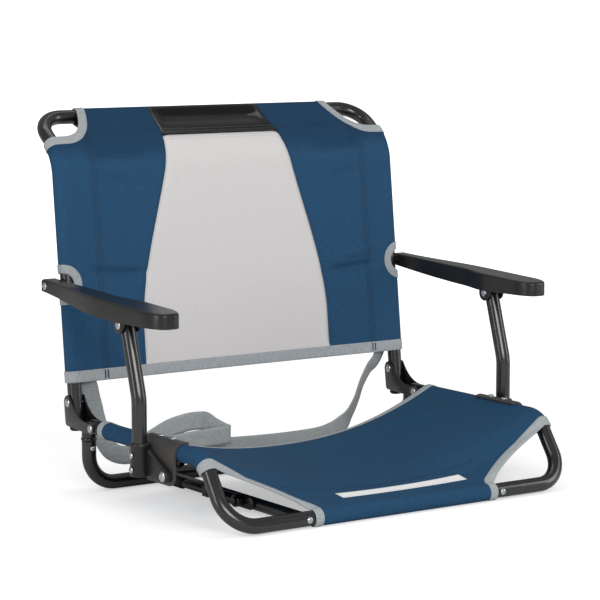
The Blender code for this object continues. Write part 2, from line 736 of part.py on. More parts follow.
def arms():
    """Moulded arms, open below, with a boss at the rear bolt and two ears round the post's top."""
    rear = ARM_PIVOT_Y + ARM_PAST_PIVOT
    front = POST_TOP_Y - ARM_AHEAD_OF_POST
    stations = spread(rear, front + ARM_NOSE, 11)
    stations += [front + ARM_NOSE * (1 - math.sin(math.pi / 2 * k / 5)) for k in range(1, 6)]
    ear_gap = TUBE_R + 2 * FIT_GAP
    for side, word in SIDES:
        parent = f"arm_{word}_pivot"
        name = "arm_" + word
        bm = bmesh.new()
        columns = 3
        grid = []
        for y in stations:
            inner, outer, top, _ = arm_station(y)
            grid.append([bm.verts.new((side * (inner + (outer - inner) * k / (columns - 1)), y, top))
                         for k in range(columns)])
        for upper, lower in zip(grid, grid[1:]):
            for corners in zip(upper, upper[1:], lower[1:], lower):
                bm.faces.new(corners)
        bmesh.ops.recalc_face_normals(bm, faces=bm.faces)
        if bm.faces[:][0].normal.z < 0:
            bmesh.ops.reverse_faces(bm, faces=bm.faces[:])
        rim = [edge for edge in bm.edges if edge.is_boundary]
        skirt = bmesh.ops.extrude_edge_only(bm, edges=rim)["geom"]
        for vert in [item for item in skirt if isinstance(item, bmesh.types.BMVert)]:
            vert.co.z -= arm_station(vert.co.y)[3]
        bmesh.ops.recalc_face_normals(bm, faces=bm.faces)
        bmesh.ops.bevel(bm, geom=rim, offset=ARM_EDGE, segments=2, profile=0.5, affect="EDGES", material=-1)
        mesh = bpy.data.meshes.new(name)
        bm.to_mesh(mesh)
        bm.free()
        smooth(mesh)
        arm = add_object(name, mesh, "arm_plastic", parent)
        wall = arm.modifiers.new("wall", "SOLIDIFY")
        wall.thickness = ARM_WALL
        wall.offset = -1
        pivot_inner, pivot_outer, _, _ = arm_station(ARM_PIVOT_Y)
        boss_z = ARM_PIVOT_Z + ARM_BOSS_LIFT
        boolean(arm, add_object(name + "_boss", rod_mesh(
            name + "_boss", (side * (pivot_inner + ARM_BOSS_INSET), ARM_PIVOT_Y, boss_z),
            (side * (pivot_outer - ARM_BOSS_INSET), ARM_PIVOT_Y, boss_z), ARM_BOSS_R)), "UNION")
        root = arm_station(POST_TOP_Y)[2] - EAR_ROOT_DROP
        outline = hull_of_circles([
            (POST_TOP_Y, POST_TOP_Z, EAR_R), (POST_TOP_Y - EAR_ROOT_HALF, root, EAR_ROOT_R),
            (POST_TOP_Y + EAR_ROOT_HALF, root, EAR_ROOT_R)])
        for way in (-1, 1):
            ear_x = side * POST_X + way * (ear_gap + EAR / 2)
            boolean(arm, add_object(f"{name}_ear_{way}", outline_mesh(name + "_ear", outline, EAR,
                                                                      side_frame(ear_x))), "UNION")
        drill(arm, (side * (pivot_inner - CUT_PAST), ARM_PIVOT_Y, ARM_PIVOT_Z),
              (side * (pivot_outer + CUT_PAST), ARM_PIVOT_Y, ARM_PIVOT_Z), PIN_R)
        ear_reach = ear_gap + EAR + PIN_R
        drill(arm, (side * POST_X - ear_reach, POST_TOP_Y, POST_TOP_Z),
              (side * POST_X + ear_reach, POST_TOP_Y, POST_TOP_Z), PIN_R)
        shank = pivot_outer + FIT_GAP - (FRAME_HALF - TUBE_R / 2)
        turned("arm_bolt_" + word, screw_profile(shank, PIN_R, ARM_BOLT_HEAD_R, ARM_BOLT_HEAD),
               (side * (pivot_outer + FIT_GAP), ARM_PIVOT_Y, ARM_PIVOT_Z), (side, 0, 0), "zinc", parent)
        spacer = pivot_inner - FRAME_HALF - TUBE_R - 2 * FIT_GAP
        bore = PIN_R + HOLE_GAP + SPACER_EXTRA
        turned("arm_spacer_" + word, [
            (bore, spacer), (SPACER_R, spacer), (SPACER_R, 0), (bore, 0), (bore, spacer)],
            (side * (FRAME_HALF + TUBE_R + FIT_GAP), ARM_PIVOT_Y, ARM_PIVOT_Z), (side, 0, 0),
            "gloss_black", parent)
        ear_out = ear_gap + EAR + FIT_GAP
        turned("arm_pin_" + word, rivet_profile(2 * ear_out, PIN_R),
               (side * (POST_X + ear_out), POST_TOP_Y, POST_TOP_Z), (side, 0, 0), "zinc", parent)


def saddle_screw_places():
    middle = POST_PIVOT_Y - SADDLE_AHEAD + SADDLE_LENGTH / 2
    return middle - SADDLE_SCREW_SPAN / 2, middle + SADDLE_SCREW_SPAN / 2


def saddles():
    """Moulded saddles clamped over the rails and their cloth, whose outer plate carries the post's pivot."""
    inner_r = SLEEVE_OUT + FIT_GAP
    outer_r = inner_r + SADDLE_WALL
    front = POST_PIVOT_Y - SADDLE_AHEAD
    rear = front + SADDLE_LENGTH
    low = POST_PIVOT_Z - SADDLE_LOW_R
    for side, word in SIDES:
        name = "saddle_" + word
        arc = [SADDLE_INNER_ANGLE * k / SADDLE_ARC_STEPS for k in range(SADDLE_ARC_STEPS + 1)]
        outline = [(side * (FRAME_HALF + outer_r), low - CUT_PAST)]
        outline += [(side * (FRAME_HALF + outer_r * math.cos(a)), RAIL_Z + outer_r * math.sin(a))
                    for a in arc]
        outline += [(side * (FRAME_HALF + inner_r * math.cos(a)), RAIL_Z + inner_r * math.sin(a))
                    for a in reversed(arc)]
        outline.append((side * (FRAME_HALF + inner_r), low - CUT_PAST))
        saddle = add_object(name, outline_mesh(name, outline, SADDLE_LENGTH, end_frame((front + rear) / 2)),
                            "saddle_plastic")
        above, edge_z = RAIL_Z + DRILL_REACH, RAIL_Z - SADDLE_EDGE_R
        shape = hull_of_circles([
            (front + SADDLE_TOP_R, above, SADDLE_TOP_R), (rear - SADDLE_TOP_R, above, SADDLE_TOP_R),
            (front + SADDLE_EDGE_R, edge_z, SADDLE_EDGE_R), (rear - SADDLE_EDGE_R, edge_z, SADDLE_EDGE_R),
            (front + SADDLE_LOW_R, POST_PIVOT_Z, SADDLE_LOW_R),
            (rear - SADDLE_LOW_R - SADDLE_REAR_RISE, POST_PIVOT_Z, SADDLE_LOW_R)])
        boolean(saddle, add_object(name + "_shape", outline_mesh(
            name + "_shape", shape, 2 * DRILL_REACH, side_frame(side * FRAME_HALF))), "INTERSECT")
        drill(saddle, (side * (FRAME_HALF + TUBE_R / 2), POST_PIVOT_Y, POST_PIVOT_Z),
              (side * (FRAME_HALF + DRILL_REACH), POST_PIVOT_Y, POST_PIVOT_Z), PIN_R)
        for screw_y, end in zip(saddle_screw_places(), ("front", "rear")):
            x = side * FRAME_HALF
            drill(saddle, (x, screw_y, RAIL_Z + TUBE_R), (x, screw_y, RAIL_Z + DRILL_REACH), SCREW_R)
            turned(f"saddle_screw_{word}_{end}", screw_profile(outer_r + FIT_GAP - SADDLE_SCREW_SHORT),
                   (x, screw_y, RAIL_Z + outer_r + FIT_GAP), (0, 0, 1), "zinc")


def posts():
    """Bent arm posts in moulded sockets, each hung on its saddle by a pivot bolt."""
    for side, word in SIDES:
        parent = f"post_{word}_pivot"
        x = side * POST_X
        lean = (Vector((x, POST_TOP_Y, POST_TOP_Z)) - Vector((x, POST_Y, POST_STRAIGHT_TOP))).normalized()
        end = Vector((x, POST_TOP_Y, POST_TOP_Z)) + lean * POST_PAST_PIVOT
        name = "post_" + word
        post = add_object(name, tube_mesh(name, rounded_path(
            [(x, POST_Y, POST_BOTTOM_Z), (x, POST_Y, POST_STRAIGHT_TOP), end], [POST_BEND_R]), TUBE_R),
            "black_steel", parent)
        drill(post, (x - CUT_PAST, POST_TOP_Y, POST_TOP_Z),
              (x + CUT_PAST, POST_TOP_Y, POST_TOP_Z), PIN_R + HOLE_GAP)
        name = "post_socket_" + word
        socket = add_object(name, rod_mesh(
            name, (x, POST_Y, SOCKET_LOW_Z), (x, POST_Y, SOCKET_TOP_Z), SOCKET_R, SOCKET_SIDES),
            "black_plastic", parent)
        fin_in = SADDLE_OUT + 2 * FIT_GAP
        outline = hull_of_circles([
            (POST_PIVOT_Y, POST_PIVOT_Z, FIN_BOSS_R), (POST_Y, SOCKET_LOW_Z + FIN_ROOT_LOW, FIN_ROOT_R),
            (POST_Y, SOCKET_TOP_Z - FIN_ROOT_TOP, FIN_ROOT_R)])
        boolean(socket, add_object(name + "_fin", outline_mesh(
            name + "_fin", outline, FIN, side_frame(side * (fin_in + FIN / 2)))), "UNION")
        boolean(socket, add_object(name + "_bore", rod_mesh(
            name + "_bore", (x, POST_Y, POST_BOTTOM_Z - FIT_GAP), (x, POST_Y, SOCKET_TOP_Z + CUT_PAST),
            SOCKET_BORE_R, SOCKET_SIDES)))
        drill(socket, (side * (fin_in - CUT_PAST), POST_PIVOT_Y, POST_PIVOT_Z),
              (side * (fin_in + FIN + CUT_PAST), POST_PIVOT_Y, POST_PIVOT_Z), PIN_R)
        head = side * (POST_X + SOCKET_R + FIT_GAP)
        for z, place in zip(SOCKET_SCREW_Z, ("lower", "upper")):
            for piece in (socket, post):
                drill(piece, (head + side * CUT_PAST, POST_Y, z),
                      (side * (POST_X + SOCKET_SCREW_REACH - FIT_GAP), POST_Y, z), SCREW_R)
            turned(f"socket_screw_{word}_{place}", screw_profile(SOCKET_R + FIT_GAP - SOCKET_SCREW_REACH),
                   (head, POST_Y, z), (side, 0, 0), "zinc", parent)
        grip = fin_in + FIN + FIT_GAP - (SADDLE_OUT - SADDLE_WALL - FIT_GAP)
        turned("post_pivot_bolt_" + word, rivet_profile(grip, PIN_R, POST_BOLT_HEAD_R, POST_BOLT_HEAD),
               (side * (fin_in + FIN + FIT_GAP), POST_PIVOT_Y, POST_PIVOT_Z), (side, 0, 0), "zinc", parent)


def hooks():
    """Hooks that swing down from the runners to grip the bench, each with its bracket and rubber tip."""
    curl_z = HOOK_Z + 2 * HOOK_CURL_R
    for side, word in SIDES:
        x = side * HOOK_X
        parent = f"hook_{word}_pivot"
        corner = HOOK_Y + HOOK_SHANK
        curl = [Vector((x, corner + HOOK_CURL_R * math.sin(a), HOOK_Z + HOOK_CURL_R * (1 - math.cos(a))))
                for a in spread(0, math.pi, 8)]
        start = Vector((x, HOOK_Y + HOOK_EYE_R / 2, HOOK_Z))
        tail = Vector((x, corner - HOOK_RETURN, curl_z))
        name = "bench_hook_" + word
        hook = add_object(name, tube_mesh(name, [start] + curl + [tail], HOOK_ROD_R, sides=ROD_SIDES_SETTING),
                          "black_steel", parent)
        eye = rod_mesh(name + "_eye", (x - HOOK_ROD_R, HOOK_Y, HOOK_Z), (x + HOOK_ROD_R, HOOK_Y, HOOK_Z),
                       HOOK_EYE_R)
        boolean(hook, add_object(name + "_eye", eye), "UNION")
        drill(hook, (x - CUT_PAST, HOOK_Y, HOOK_Z), (x + CUT_PAST, HOOK_Y, HOOK_Z), PIN_R)
        name = "hook_tip_" + word
        mouth = Vector((x, corner - HOOK_TIP_AHEAD, HOOK_Z))
        past = tail + Vector((0, HOOK_RETURN / 4, 0))
        tip = add_object(name, tube_mesh(name, [mouth] + curl + [past], HOOK_ROD_R + FIT_GAP + HOOK_TIP_WALL,
                                         sides=ROD_SIDES_SETTING), "rubber", parent)
        inner = [mouth - Vector((0, CUT_PAST, 0))] + curl + [tail - Vector((0, CUT_PAST, 0))]
        boolean(tip, add_object(name + "_bore", tube_mesh(name + "_bore", inner, HOOK_ROD_R + 2 * FIT_GAP,
                                                          sides=ROD_SIDES_SETTING)))

        name = "hook_bracket_" + word
        near = side * (FRONT_SCREW_X + RUNNER_R + FIT_GAP)
        face = near + side * BRACKET
        far = x + side * (HOOK_ROD_R + HOOK_GAP)
        clip_y = FRONT_Y + HOOK_PIVOT_REACH + CLIP_REACH
        plate_z = HOOK_Z - BRACKET_DROP
        top = HOOK_Z + HOOK_ROD_R + HOOK_GAP
        low_y, high_y = clip_y - CLIP_LENGTH / 2, clip_y + CLIP_LENGTH / 2
        roof = top + BRACKET + CLIP_RIM
        last_y = high_y - BRACKET_HALF_HEIGHT
        outline = hull_of_circles([(HOOK_Y - BRACKET_AHEAD, plate_z, BRACKET_HALF_HEIGHT),
                                   (last_y, plate_z, BRACKET_HALF_HEIGHT)])
        first = next(k for k, (y, z) in enumerate(outline) if z > plate_z and y < last_y + CLIP_RIM)
        bump = [(high_y + CLIP_RIM, roof), (low_y - CLIP_RIM, roof),
                (low_y - CLIP_RIM, plate_z + BRACKET_HALF_HEIGHT)]
        under = [(y, z) for y, z in outline[:first] if z <= plate_z or y <= low_y]
        outline = under + bump + outline[first + 1:]
        bracket = add_object(name, outline_mesh(name, outline, BRACKET, side_frame((near + face) / 2)),
                             "black_steel")
        inside = near + side * BRACKET / 2
        lip = far + side * BRACKET
        lip_z = HOOK_Z - HOOK_ROD_R
        profile = [(inside, top), (far, top), (far, lip_z), (lip, lip_z), (lip, top + BRACKET),
                   (inside, top + BRACKET)]
        boolean(bracket, add_object(name + "_clip", outline_mesh(name + "_clip", profile, CLIP_LENGTH,
                                                                 end_frame(clip_y))), "UNION")
        head = HOOK_X + HOOK_ROD_R + FIT_GAP
        stations = [abs(inside), head, head + FIT_GAP, head + FIT_GAP + STUD_HEAD]
        stud = tube_mesh(name + "_stud", [(side * value, HOOK_Y, HOOK_Z) for value in stations], PIN_R,
                         [1, 1, RIVET_HEAD_R / PIN_R, RIVET_HEAD_R / PIN_R])
        boolean(bracket, add_object(name + "_stud", stud), "UNION")


def rail_drop(y):
    """How far the rail's axis has dipped where its front bend begins."""
    turn = math.atan2(RAIL_Z - FRONT_Z, FRONT_LEG_RUN)
    past = FRONT_Y + FRONT_LEG_RUN + FRONT_LEG_BEND * math.tan(turn / 2) - y
    return FRONT_LEG_BEND - math.sqrt(FRONT_LEG_BEND**2 - past**2) if past > 0 else 0.0


def sling_height(x, y):
    """Height of the slung seat between the rails, flat across the front bar."""
    rear = RAIL_END_Y
    along = (rear - y) / (rear - FRONT_Y)
    middle = SAG_REAR_Z + (FRONT_Z + SLEEVE_R - SAG_REAR_Z) * along
    leave_x = FRAME_HALF + SLEEVE_R * math.cos(LEAVE_ANGLE)
    sleeve_y = max(y, RAIL_END_Y - FIT_GAP - SLEEVE_FRONT_AHEAD_OF_REAR)
    leave_z = RAIL_Z - rail_drop(sleeve_y) + SLEEVE_R * math.sin(LEAVE_ANGLE)
    slope = math.tan(LEAVE_ANGLE - math.pi / 2)
    power = slope * leave_x / (leave_z - middle)
    share = min(abs(x) / leave_x, 1.0)
    level = 1 - blend((along - LEVEL_FROM) / (1 - LEVEL_FROM))
    edge = min(max((abs(x) - POCKET_HALF) / (leave_x - POCKET_HALF), 0.0), 1.0)
    return middle + (leave_z - middle) * share**power * (level + (1 - level) * edge)


def seat_sling():
    """The seat's cloth, slung between sleeves round the rails and a pocket round the front bar."""
    rear = RAIL_END_Y - FIT_GAP
    sleeve_front = rear - SLEEVE_FRONT_AHEAD_OF_REAR
    leave_x = FRAME_HALF + SLEEVE_R * math.cos(LEAVE_ANGLE)
    spans = spread(0, POCKET_HALF, 5) + spread(POCKET_HALF, leave_x, 7)[1:]
    angles = spread(LEAVE_ANGLE, WRAP_END_ANGLE, 16)[1:]
    half = [("span", x) for x in spans] + [("wrap", a) for a in angles]
    columns = [(-1, *item) for item in reversed(half[1:])] + [(1, *item) for item in half]
    rows = []
    for share in spread(0, 1, 9):
        row = []
        for side, kind, value in columns:
            if kind == "wrap":
                y = rear + (sleeve_front - rear) * share
                row.append(Vector((side * (FRAME_HALF + SLEEVE_R * math.cos(value)), y,
                                   RAIL_Z - rail_drop(y) + SLEEVE_R * math.sin(value))))
                continue
            cut = max(value - POCKET_HALF, 0) / (leave_x - POCKET_HALF)
            end = FRONT_Y + (sleeve_front - FRONT_Y) * cut**CUT_OUT_POWER
            y = rear + (end - rear) * share
            row.append(Vector((side * value, y, sling_height(value, y))))
        rows.append(row)
    for angle in spread(math.pi / 2, POCKET_END_ANGLE, 12)[1:]:
        y, z = FRONT_Y - SLEEVE_R * math.cos(angle), FRONT_Z + SLEEVE_R * math.sin(angle)
        rows.append([Vector((side * value, y, z)) if kind == "span" and value <= POCKET_HALF else None
                     for side, kind, value in columns])
    sling = cloth("seat_sling", rows, "navy_cloth")
    for side, _ in SIDES:
        x = side * FRAME_HALF
        for screw_y in saddle_screw_places():
            drill(sling, (x, screw_y, RAIL_Z + TUBE_R), (x, screw_y, RAIL_Z + DRILL_REACH), SCREW_R)


def mesh_half(rise):
    """Half the width of the mesh panel, which narrows towards the top."""
    narrowed = blend((rise - MESH_NARROWS_FROM) / (MESH_NARROWS_TO - MESH_NARROWS_FROM))
    return MESH_HALF_LOW + (MESH_HALF_TOP - MESH_HALF_LOW) * narrowed


def back_point(x, rise, behind=-SLEEVE_R):
    """A point of the back's cloth: across, up along the uprights, and behind their axis."""
    place, _, back = back_axis(rise)
    sag = BACK_SAG * (1 - min(abs(x) / (FRAME_HALF - SEAM_INBOARD), 1.0) ** 2)
    sag *= 1 - blend((rise - HEM_RISE) / (TOP_END - TOP_SEAM_DROP - HEM_RISE))
    point = place + back * (behind + sag)
    point.x = x
    return point


def wrap_turn(inboard, ahead):
    """How far cloth turns round a tube past its outermost point, before it leaves for its seam."""
    return math.pi + math.atan2(ahead, inboard) - math.acos(SLEEVE_R / math.hypot(inboard, ahead))


def top_wrap(x, steps):
    """Points of cloth over the top bar, down its back and onto the seam behind the front layer."""
    centre, up, back = back_axis(TOP_END)
    seam = back_point(x, TOP_END - TOP_SEAM_DROP, CLOTH + SEAM_GAP - SLEEVE_R)
    drop = seam - Vector((x, centre.y, centre.z))
    points = []
    for angle in spread(math.pi, math.pi / 2 - wrap_turn(-drop.dot(up), -drop.dot(back)), steps)[1:]:
        point = centre + SLEEVE_R * (math.cos(angle) * back + math.sin(angle) * up)
        points.append(Vector((x, point.y, point.z)))
    points.append(seam)
    return points


def back_rises(end):
    """Places up the back, close together round its bend."""
    return spread(HEM_RISE, UPRIGHT_STRAIGHT - BEND_LEAD, 6) + spread(UPRIGHT_STRAIGHT, end, 6)


def back_sling():
    """The back's cloth: side panels with sleeves, the mesh between them and a pocket on the top bar."""
    seam = TOP_END - TOP_SEAM_DROP
    for side, word in SIDES:
        rows = []
        for share in spread(0, 1, 12):
            row = []
            for k in spread(0, 1, 5):
                base = back_rises(TOP_END)[round(share * 11)]
                inner = mesh_half(base) + SEAM_GAP / 2
                x = inner + (TOP_SLEEVE_HALF - inner) * k
                row.append(back_point(side * x, base))
            level = back_rises(SIDE_SLEEVE_TOP)[round(share * 11)]
            for x in spread(TOP_SLEEVE_HALF, FRAME_HALF, 4)[1:]:
                edge = (x - TOP_SLEEVE_HALF) / (FRAME_HALF - TOP_SLEEVE_HALF)
                climb = (back_rises(TOP_END)[round(share * 11)] - level) * (1 - edge) ** 3
                row.append(back_point(side * x, level + climb))
            place, _, back = back_axis(level)
            for angle in spread(-math.pi / 2, wrap_turn(SEAM_INBOARD, SLEEVE_R - CLOTH - SEAM_GAP), 10)[1:]:
                point = place + back * SLEEVE_R * math.sin(angle)
                row.append(Vector((side * (FRAME_HALF + SLEEVE_R * math.cos(angle)), point.y, point.z)))
            row.append(back_point(side * (FRAME_HALF - SEAM_INBOARD), level, CLOTH + SEAM_GAP - SLEEVE_R))
            rows.append(row)
        width = len(rows[0])
        wraps = [top_wrap(point.x, 8) for point in rows[-1][:5]]
        for step in range(len(wraps[0])):
            rows.append([wrap[step] for wrap in wraps] + [None] * (width - 5))
        panel = cloth("back_panel_" + word, rows, "navy_cloth", "back_pivot")
        centre, _, back = back_axis(ARM_PIVOT_RISE / math.cos(RECLINE))
        centre.x = side * (FRAME_HALF + HALF_MOON_OUT)
        boolean(panel, add_object("half_moon_" + word, rod_mesh(
            "half_moon", centre - back * DRILL_REACH, centre + back * DRILL_REACH, HALF_MOON_R, 24)))
    rows = []
    for rise in back_rises(seam - SEAM_GAP / 2):
        half = mesh_half(rise) - SEAM_GAP / 2
        rows.append([back_point(x, rise) for x in spread(-half, half, 9)])
    cloth("back_mesh", rows, "mesh_cloth", "back_pivot")
    half = mesh_half(TOP_END) - SEAM_GAP / 2
    columns = spread(-half, half, 9)
    rows = [[back_point(x, rise) for x in columns] for rise in spread(seam + SEAM_GAP / 2, TOP_END, 5)]
    wraps = [top_wrap(x, 8) for x in columns]
    rows += [[wrap[step] for wrap in wraps] for step in range(len(wraps[0]))]
    cloth("back_top_pocket", rows, "black_cloth", "back_pivot")


def sleeve_slope(side):
    """Where the back sleeve's rear layer leaves the upright and where it meets its seam."""
    ahead = SLEEVE_R - CLOTH - SEAM_GAP
    turn = wrap_turn(SEAM_INBOARD, ahead)
    leave = Vector((side * (FRAME_HALF + SLEEVE_R * math.cos(turn)), SLEEVE_R * math.sin(turn)))
    return leave, Vector((side * (FRAME_HALF - SEAM_INBOARD), -ahead))


def strap_seat(x, rise):
    """A place on the back of the sleeve where the strap's end is sewn."""
    leave, seam = sleeve_slope(math.copysign(1, x))
    slope = (seam - leave).normalized()
    clear = (CLOTH + WEBBING) / 2 + SEAM_GAP
    behind = leave.y + slope.y / slope.x * (x - leave.x) + clear / abs(slope.x)
    place, _, back = back_axis(rise)
    point = place + back * behind
    point.x = x
    return point


def carry_strap():
    """A webbing strap sewn behind both sleeves that hangs behind the seat, with its slack in two folds."""
    behind = HINGE_Y + UPRIGHT_BEHIND
    # Across in half widths of the frame, behind in strap widths, up in heights of the rail
    route = [
        (-0.905, 0.40, 1.455), (-0.874, 0.56, 1.216), (-0.840, 0.72, 0.909), (-0.805, 0.80, 0.636),
        (-0.763, 0.76, 0.455), (-0.710, 0.64, 0.375), (-0.656, 0.40, 0.386), (-0.595, 0.12, 0.523),
        (-0.527, -0.12, 0.659), (-0.458, -0.28, 0.761), (-0.366, -0.36, 0.818),
        (-0.290, -0.32, 0.818), (-0.240, -0.12, 0.784), (-0.191, 0.00, 0.682),
        (-0.137, -0.12, 0.591), (-0.115, -0.44, 0.557), (-0.153, -0.76, 0.568),
        (-0.321, -0.80, 0.557), (-0.427, -0.72, 0.534), (-0.469, -0.40, 0.489),
        (-0.435, 0.16, 0.432), (-0.305, 0.44, 0.375), (-0.115, 0.52, 0.318), (0.126, 0.56, 0.284),
        (0.374, 0.64, 0.273), (0.553, 0.72, 0.295), (0.679, 0.80, 0.409), (0.744, 0.84, 0.591),
        (0.786, 0.80, 0.818), (0.805, 0.64, 1.045), (0.844, 0.52, 1.284), (0.889, 0.40, 1.455)]
    points = [Vector((x * FRAME_HALF, behind + y * STRAP_WIDTH, z * RAIL_Z)) for x, y, z in route]
    sewn_x = FRAME_HALF - STRAP_SEWN_INBOARD
    low, high = HEM_RISE + STRAP_SEWN_RISE, HEM_RISE + STRAP_SEWN_RISE + STRAP_SEWN_LENGTH
    points = [strap_seat(-sewn_x, high), strap_seat(-sewn_x, low)] + points
    points += [strap_seat(sewn_x, low), strap_seat(sewn_x, high)]
    path = smooth_path(points, 2)
    rows = []
    for index, place in enumerate(path):
        along = path[min(index + 1, len(path) - 1)] - path[max(index - 1, 0)]
        face = Vector((along.y, -along.x, 0)).normalized()
        toward = -1 if face.y < 0 else 1
        steep = blend((abs(along.z) / along.length - STRAP_STEEP_FROM) / STRAP_STEEP_OVER)
        face = face.lerp(Vector((0, toward, 0)), steep)
        leave, seam = sleeve_slope(math.copysign(1, place.x))
        slope = (seam - leave).normalized()
        sewn = Vector((-slope.y, slope.x, 0)) * math.copysign(1, slope.x) * toward
        face = face.lerp(sewn, blend((place.z - RAIL_Z - STRAP_TURNS_FROM) / STRAP_TURNS_OVER))
        across = along.cross(face).normalized()
        if rows and across.dot(rows[-1][1] - rows[-1][0]) < 0:
            across = -across
        rows.append([place - across * STRAP_WIDTH / 2, place + across * STRAP_WIDTH / 2])
    cloth("carry_strap", rows, "webbing", "back_pivot", WEBBING)


start_scene()
MATERIALS = {
    "black_steel": new_material("black_steel", "28282B", 0.28, 0.0),
    "gloss_black": new_material("gloss_black", "1E1E20", 0.18),
    "black_plastic": new_material("black_plastic", "2C2C2D", 0.45),
    "arm_plastic": new_material("arm_plastic", "2B2B2A", 0.5),
    "saddle_plastic": new_material("saddle_plastic", "4B4845", 0.5),
    "rubber": new_material("rubber", "1C1C1C", 0.8),
    "zinc": new_material("zinc", "C9CBCC", 0.3, 1.0),
    "navy_cloth": new_material("navy_cloth", "264866", 0.85),
    "mesh_cloth": new_material("mesh_cloth", "D6D2D2", 0.85),
    "black_cloth": new_material("black_cloth", "18181A", 0.6),
    "webbing": new_material("webbing", "8D9294", 0.85),
}
PIVOTS = {"back_pivot": add_pivot("back_pivot", (0, HINGE_Y, RAIL_Z))}
for sign, label in SIDES:
    for part, place in (("arm", (sign * POST_X, ARM_PIVOT_Y, ARM_PIVOT_Z)),
                        ("post", (sign * POST_X, POST_PIVOT_Y, POST_PIVOT_Z)),
                        ("hook", (sign * HOOK_X, HOOK_Y, HOOK_Z))):
        PIVOTS[f"{part}_{label}_pivot"] = add_pivot(f"{part}_{label}_pivot", place)
seat_tubes()
rear_leg()
runners()
back_tubes()
hinge_plates()
arms()
saddles()
posts()
hooks()
seat_sling()
back_sling()
carry_strap()
print(f"hinge at y {HINGE_Y:.4f} z {RAIL_Z:.4f}; arm pivot {ARM_PIVOT_Y:.4f} {ARM_PIVOT_Z:.4f}")
print(f"post pivot {POST_PIVOT_Y:.4f} {POST_PIVOT_Z:.4f}; hook pivot {HOOK_X:.4f} {HOOK_Y:.4f} {HOOK_Z:.4f}")
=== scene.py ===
# %% [markdown]
# A folding stadium chair: black tubes, slung navy cloth, moulded arms.
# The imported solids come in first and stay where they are. Every new piece below is drawn in the same metres and
# the same frame, so nothing has to be fitted by eye.

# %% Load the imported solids
import math

import bmesh
import bpy
import numpy as np
from mathutils import Matrix, Vector


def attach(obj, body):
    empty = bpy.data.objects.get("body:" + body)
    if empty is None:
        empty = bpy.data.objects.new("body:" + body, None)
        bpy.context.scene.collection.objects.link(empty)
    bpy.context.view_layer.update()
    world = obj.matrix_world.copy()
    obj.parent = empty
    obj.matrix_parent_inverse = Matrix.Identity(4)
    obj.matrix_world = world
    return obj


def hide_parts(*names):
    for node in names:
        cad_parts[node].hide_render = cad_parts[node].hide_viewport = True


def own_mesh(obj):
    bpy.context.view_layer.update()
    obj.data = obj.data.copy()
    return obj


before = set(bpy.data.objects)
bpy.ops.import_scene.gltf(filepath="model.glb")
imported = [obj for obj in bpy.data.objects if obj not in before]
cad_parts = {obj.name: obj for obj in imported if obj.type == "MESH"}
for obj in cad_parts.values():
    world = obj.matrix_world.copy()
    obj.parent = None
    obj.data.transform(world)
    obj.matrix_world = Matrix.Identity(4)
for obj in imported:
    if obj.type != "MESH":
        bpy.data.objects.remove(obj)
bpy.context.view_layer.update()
scene = bpy.context.scene

# %% [markdown]
# The camera stands in front of the chair's left side, a little above it, with a long lens. It could be nudged by hand
# until the outlines meet. Its place was worked out from corners of the chair that show clearly in the photograph,
# which is closer, so it is written as plain numbers.


# %% Camera
def add_object(name, data):
    """A new object, linked to the scene."""
    item = bpy.data.objects.new(name, data)
    scene.collection.objects.link(item)
    return item


def point_out(item, place, way):
    """Puts a camera or a lamp at a place, looking one way."""
    item.location = place
    item.rotation_mode = "QUATERNION"
    item.rotation_quaternion = Vector(way).to_track_quat("-Z", "Y")


camera_data = bpy.data.cameras.new("camera")
camera_data.sensor_width = 36
camera_data.lens = 143.63
scene.camera = add_object("camera", camera_data)
point_out(scene.camera, (-1.7738, -2.5951, 0.6436), (0.56031, 0.81867, -0.12585))
print("camera", tuple(round(v, 3) for v in scene.camera.location))

# %% [markdown]
# A studio is a big soft lamp, weaker ones at the sides and above, and pale surroundings. A picture of a studio could
# light the scene too, but lamps need no file, and each can be changed by itself. They are set so that a colour comes
# out about as it is written.

# %% Lamps
CHAIR_MIDDLE = Vector((0, 0, 0.2))
LAMPS = {"key": ((-0.9, -2.6, 1.25), (1.5, 1.0), 36), "fill": ((2.0, -1.5, 0.9), (0.6, 1.6), 12),
         "edge": ((-2.3, -0.2, 0.9), (0.5, 1.6), 12), "overhead": ((0.1, 0.6, 2.4), (1.8, 0.25), 5)}
for name, (place, size, power) in LAMPS.items():
    data = bpy.data.lights.new(name, "AREA")
    data.shape = "RECTANGLE"
    data.size, data.size_y = size
    data.energy = power
    point_out(add_object(name, data), place, CHAIR_MIDDLE - Vector(place))
scene.view_settings.view_transform = "Standard"
print("lamps", list(LAMPS))

# %% [markdown]
# Colours are written in hex, as on a screen, and one function turns them into light. A finish is a short chain of
# nodes. It could be wired by hand in the editor, but a script can be read and run again. One function adds a node and
# joins it up, and another starts a finish from its main values.


# %% Colour and node helpers
def hex_colour(code):
    """Linear colour of an sRGB hex code."""
    values = [int(code[i:i + 2], 16) / 255 for i in (0, 2, 4)]
    return [v / 12.92 if v <= 0.04045 else ((v + 0.055) / 1.055) ** 2.4 for v in values] + [1.0]


def add_node(tree, kind, sockets=None, **settings):
    """A node with its settings, whose sockets take a value or a link."""
    node = tree.nodes.new(kind)
    for key, value in settings.items():
        setattr(node, key, value)
    for key, value in (sockets or {}).items():
        if isinstance(value, bpy.types.NodeSocket):
            tree.links.new(value, node.inputs[key])
        else:
            node.inputs[key].default_value = value
    return node


FINISHES = {}


def new_finish(name, **sockets):
    """A named material with its Principled sockets set, ready for its nodes."""
    finish = bpy.data.materials.new(name)
    finish.use_nodes = True
    shader = finish.node_tree.nodes["Principled BSDF"]
    for key, value in sockets.items():
        shader.inputs[key.replace("_", " ")].default_value = value
    FINISHES[name] = finish
    return finish.node_tree, shader


print("white in light", hex_colour("FFFFFF"))

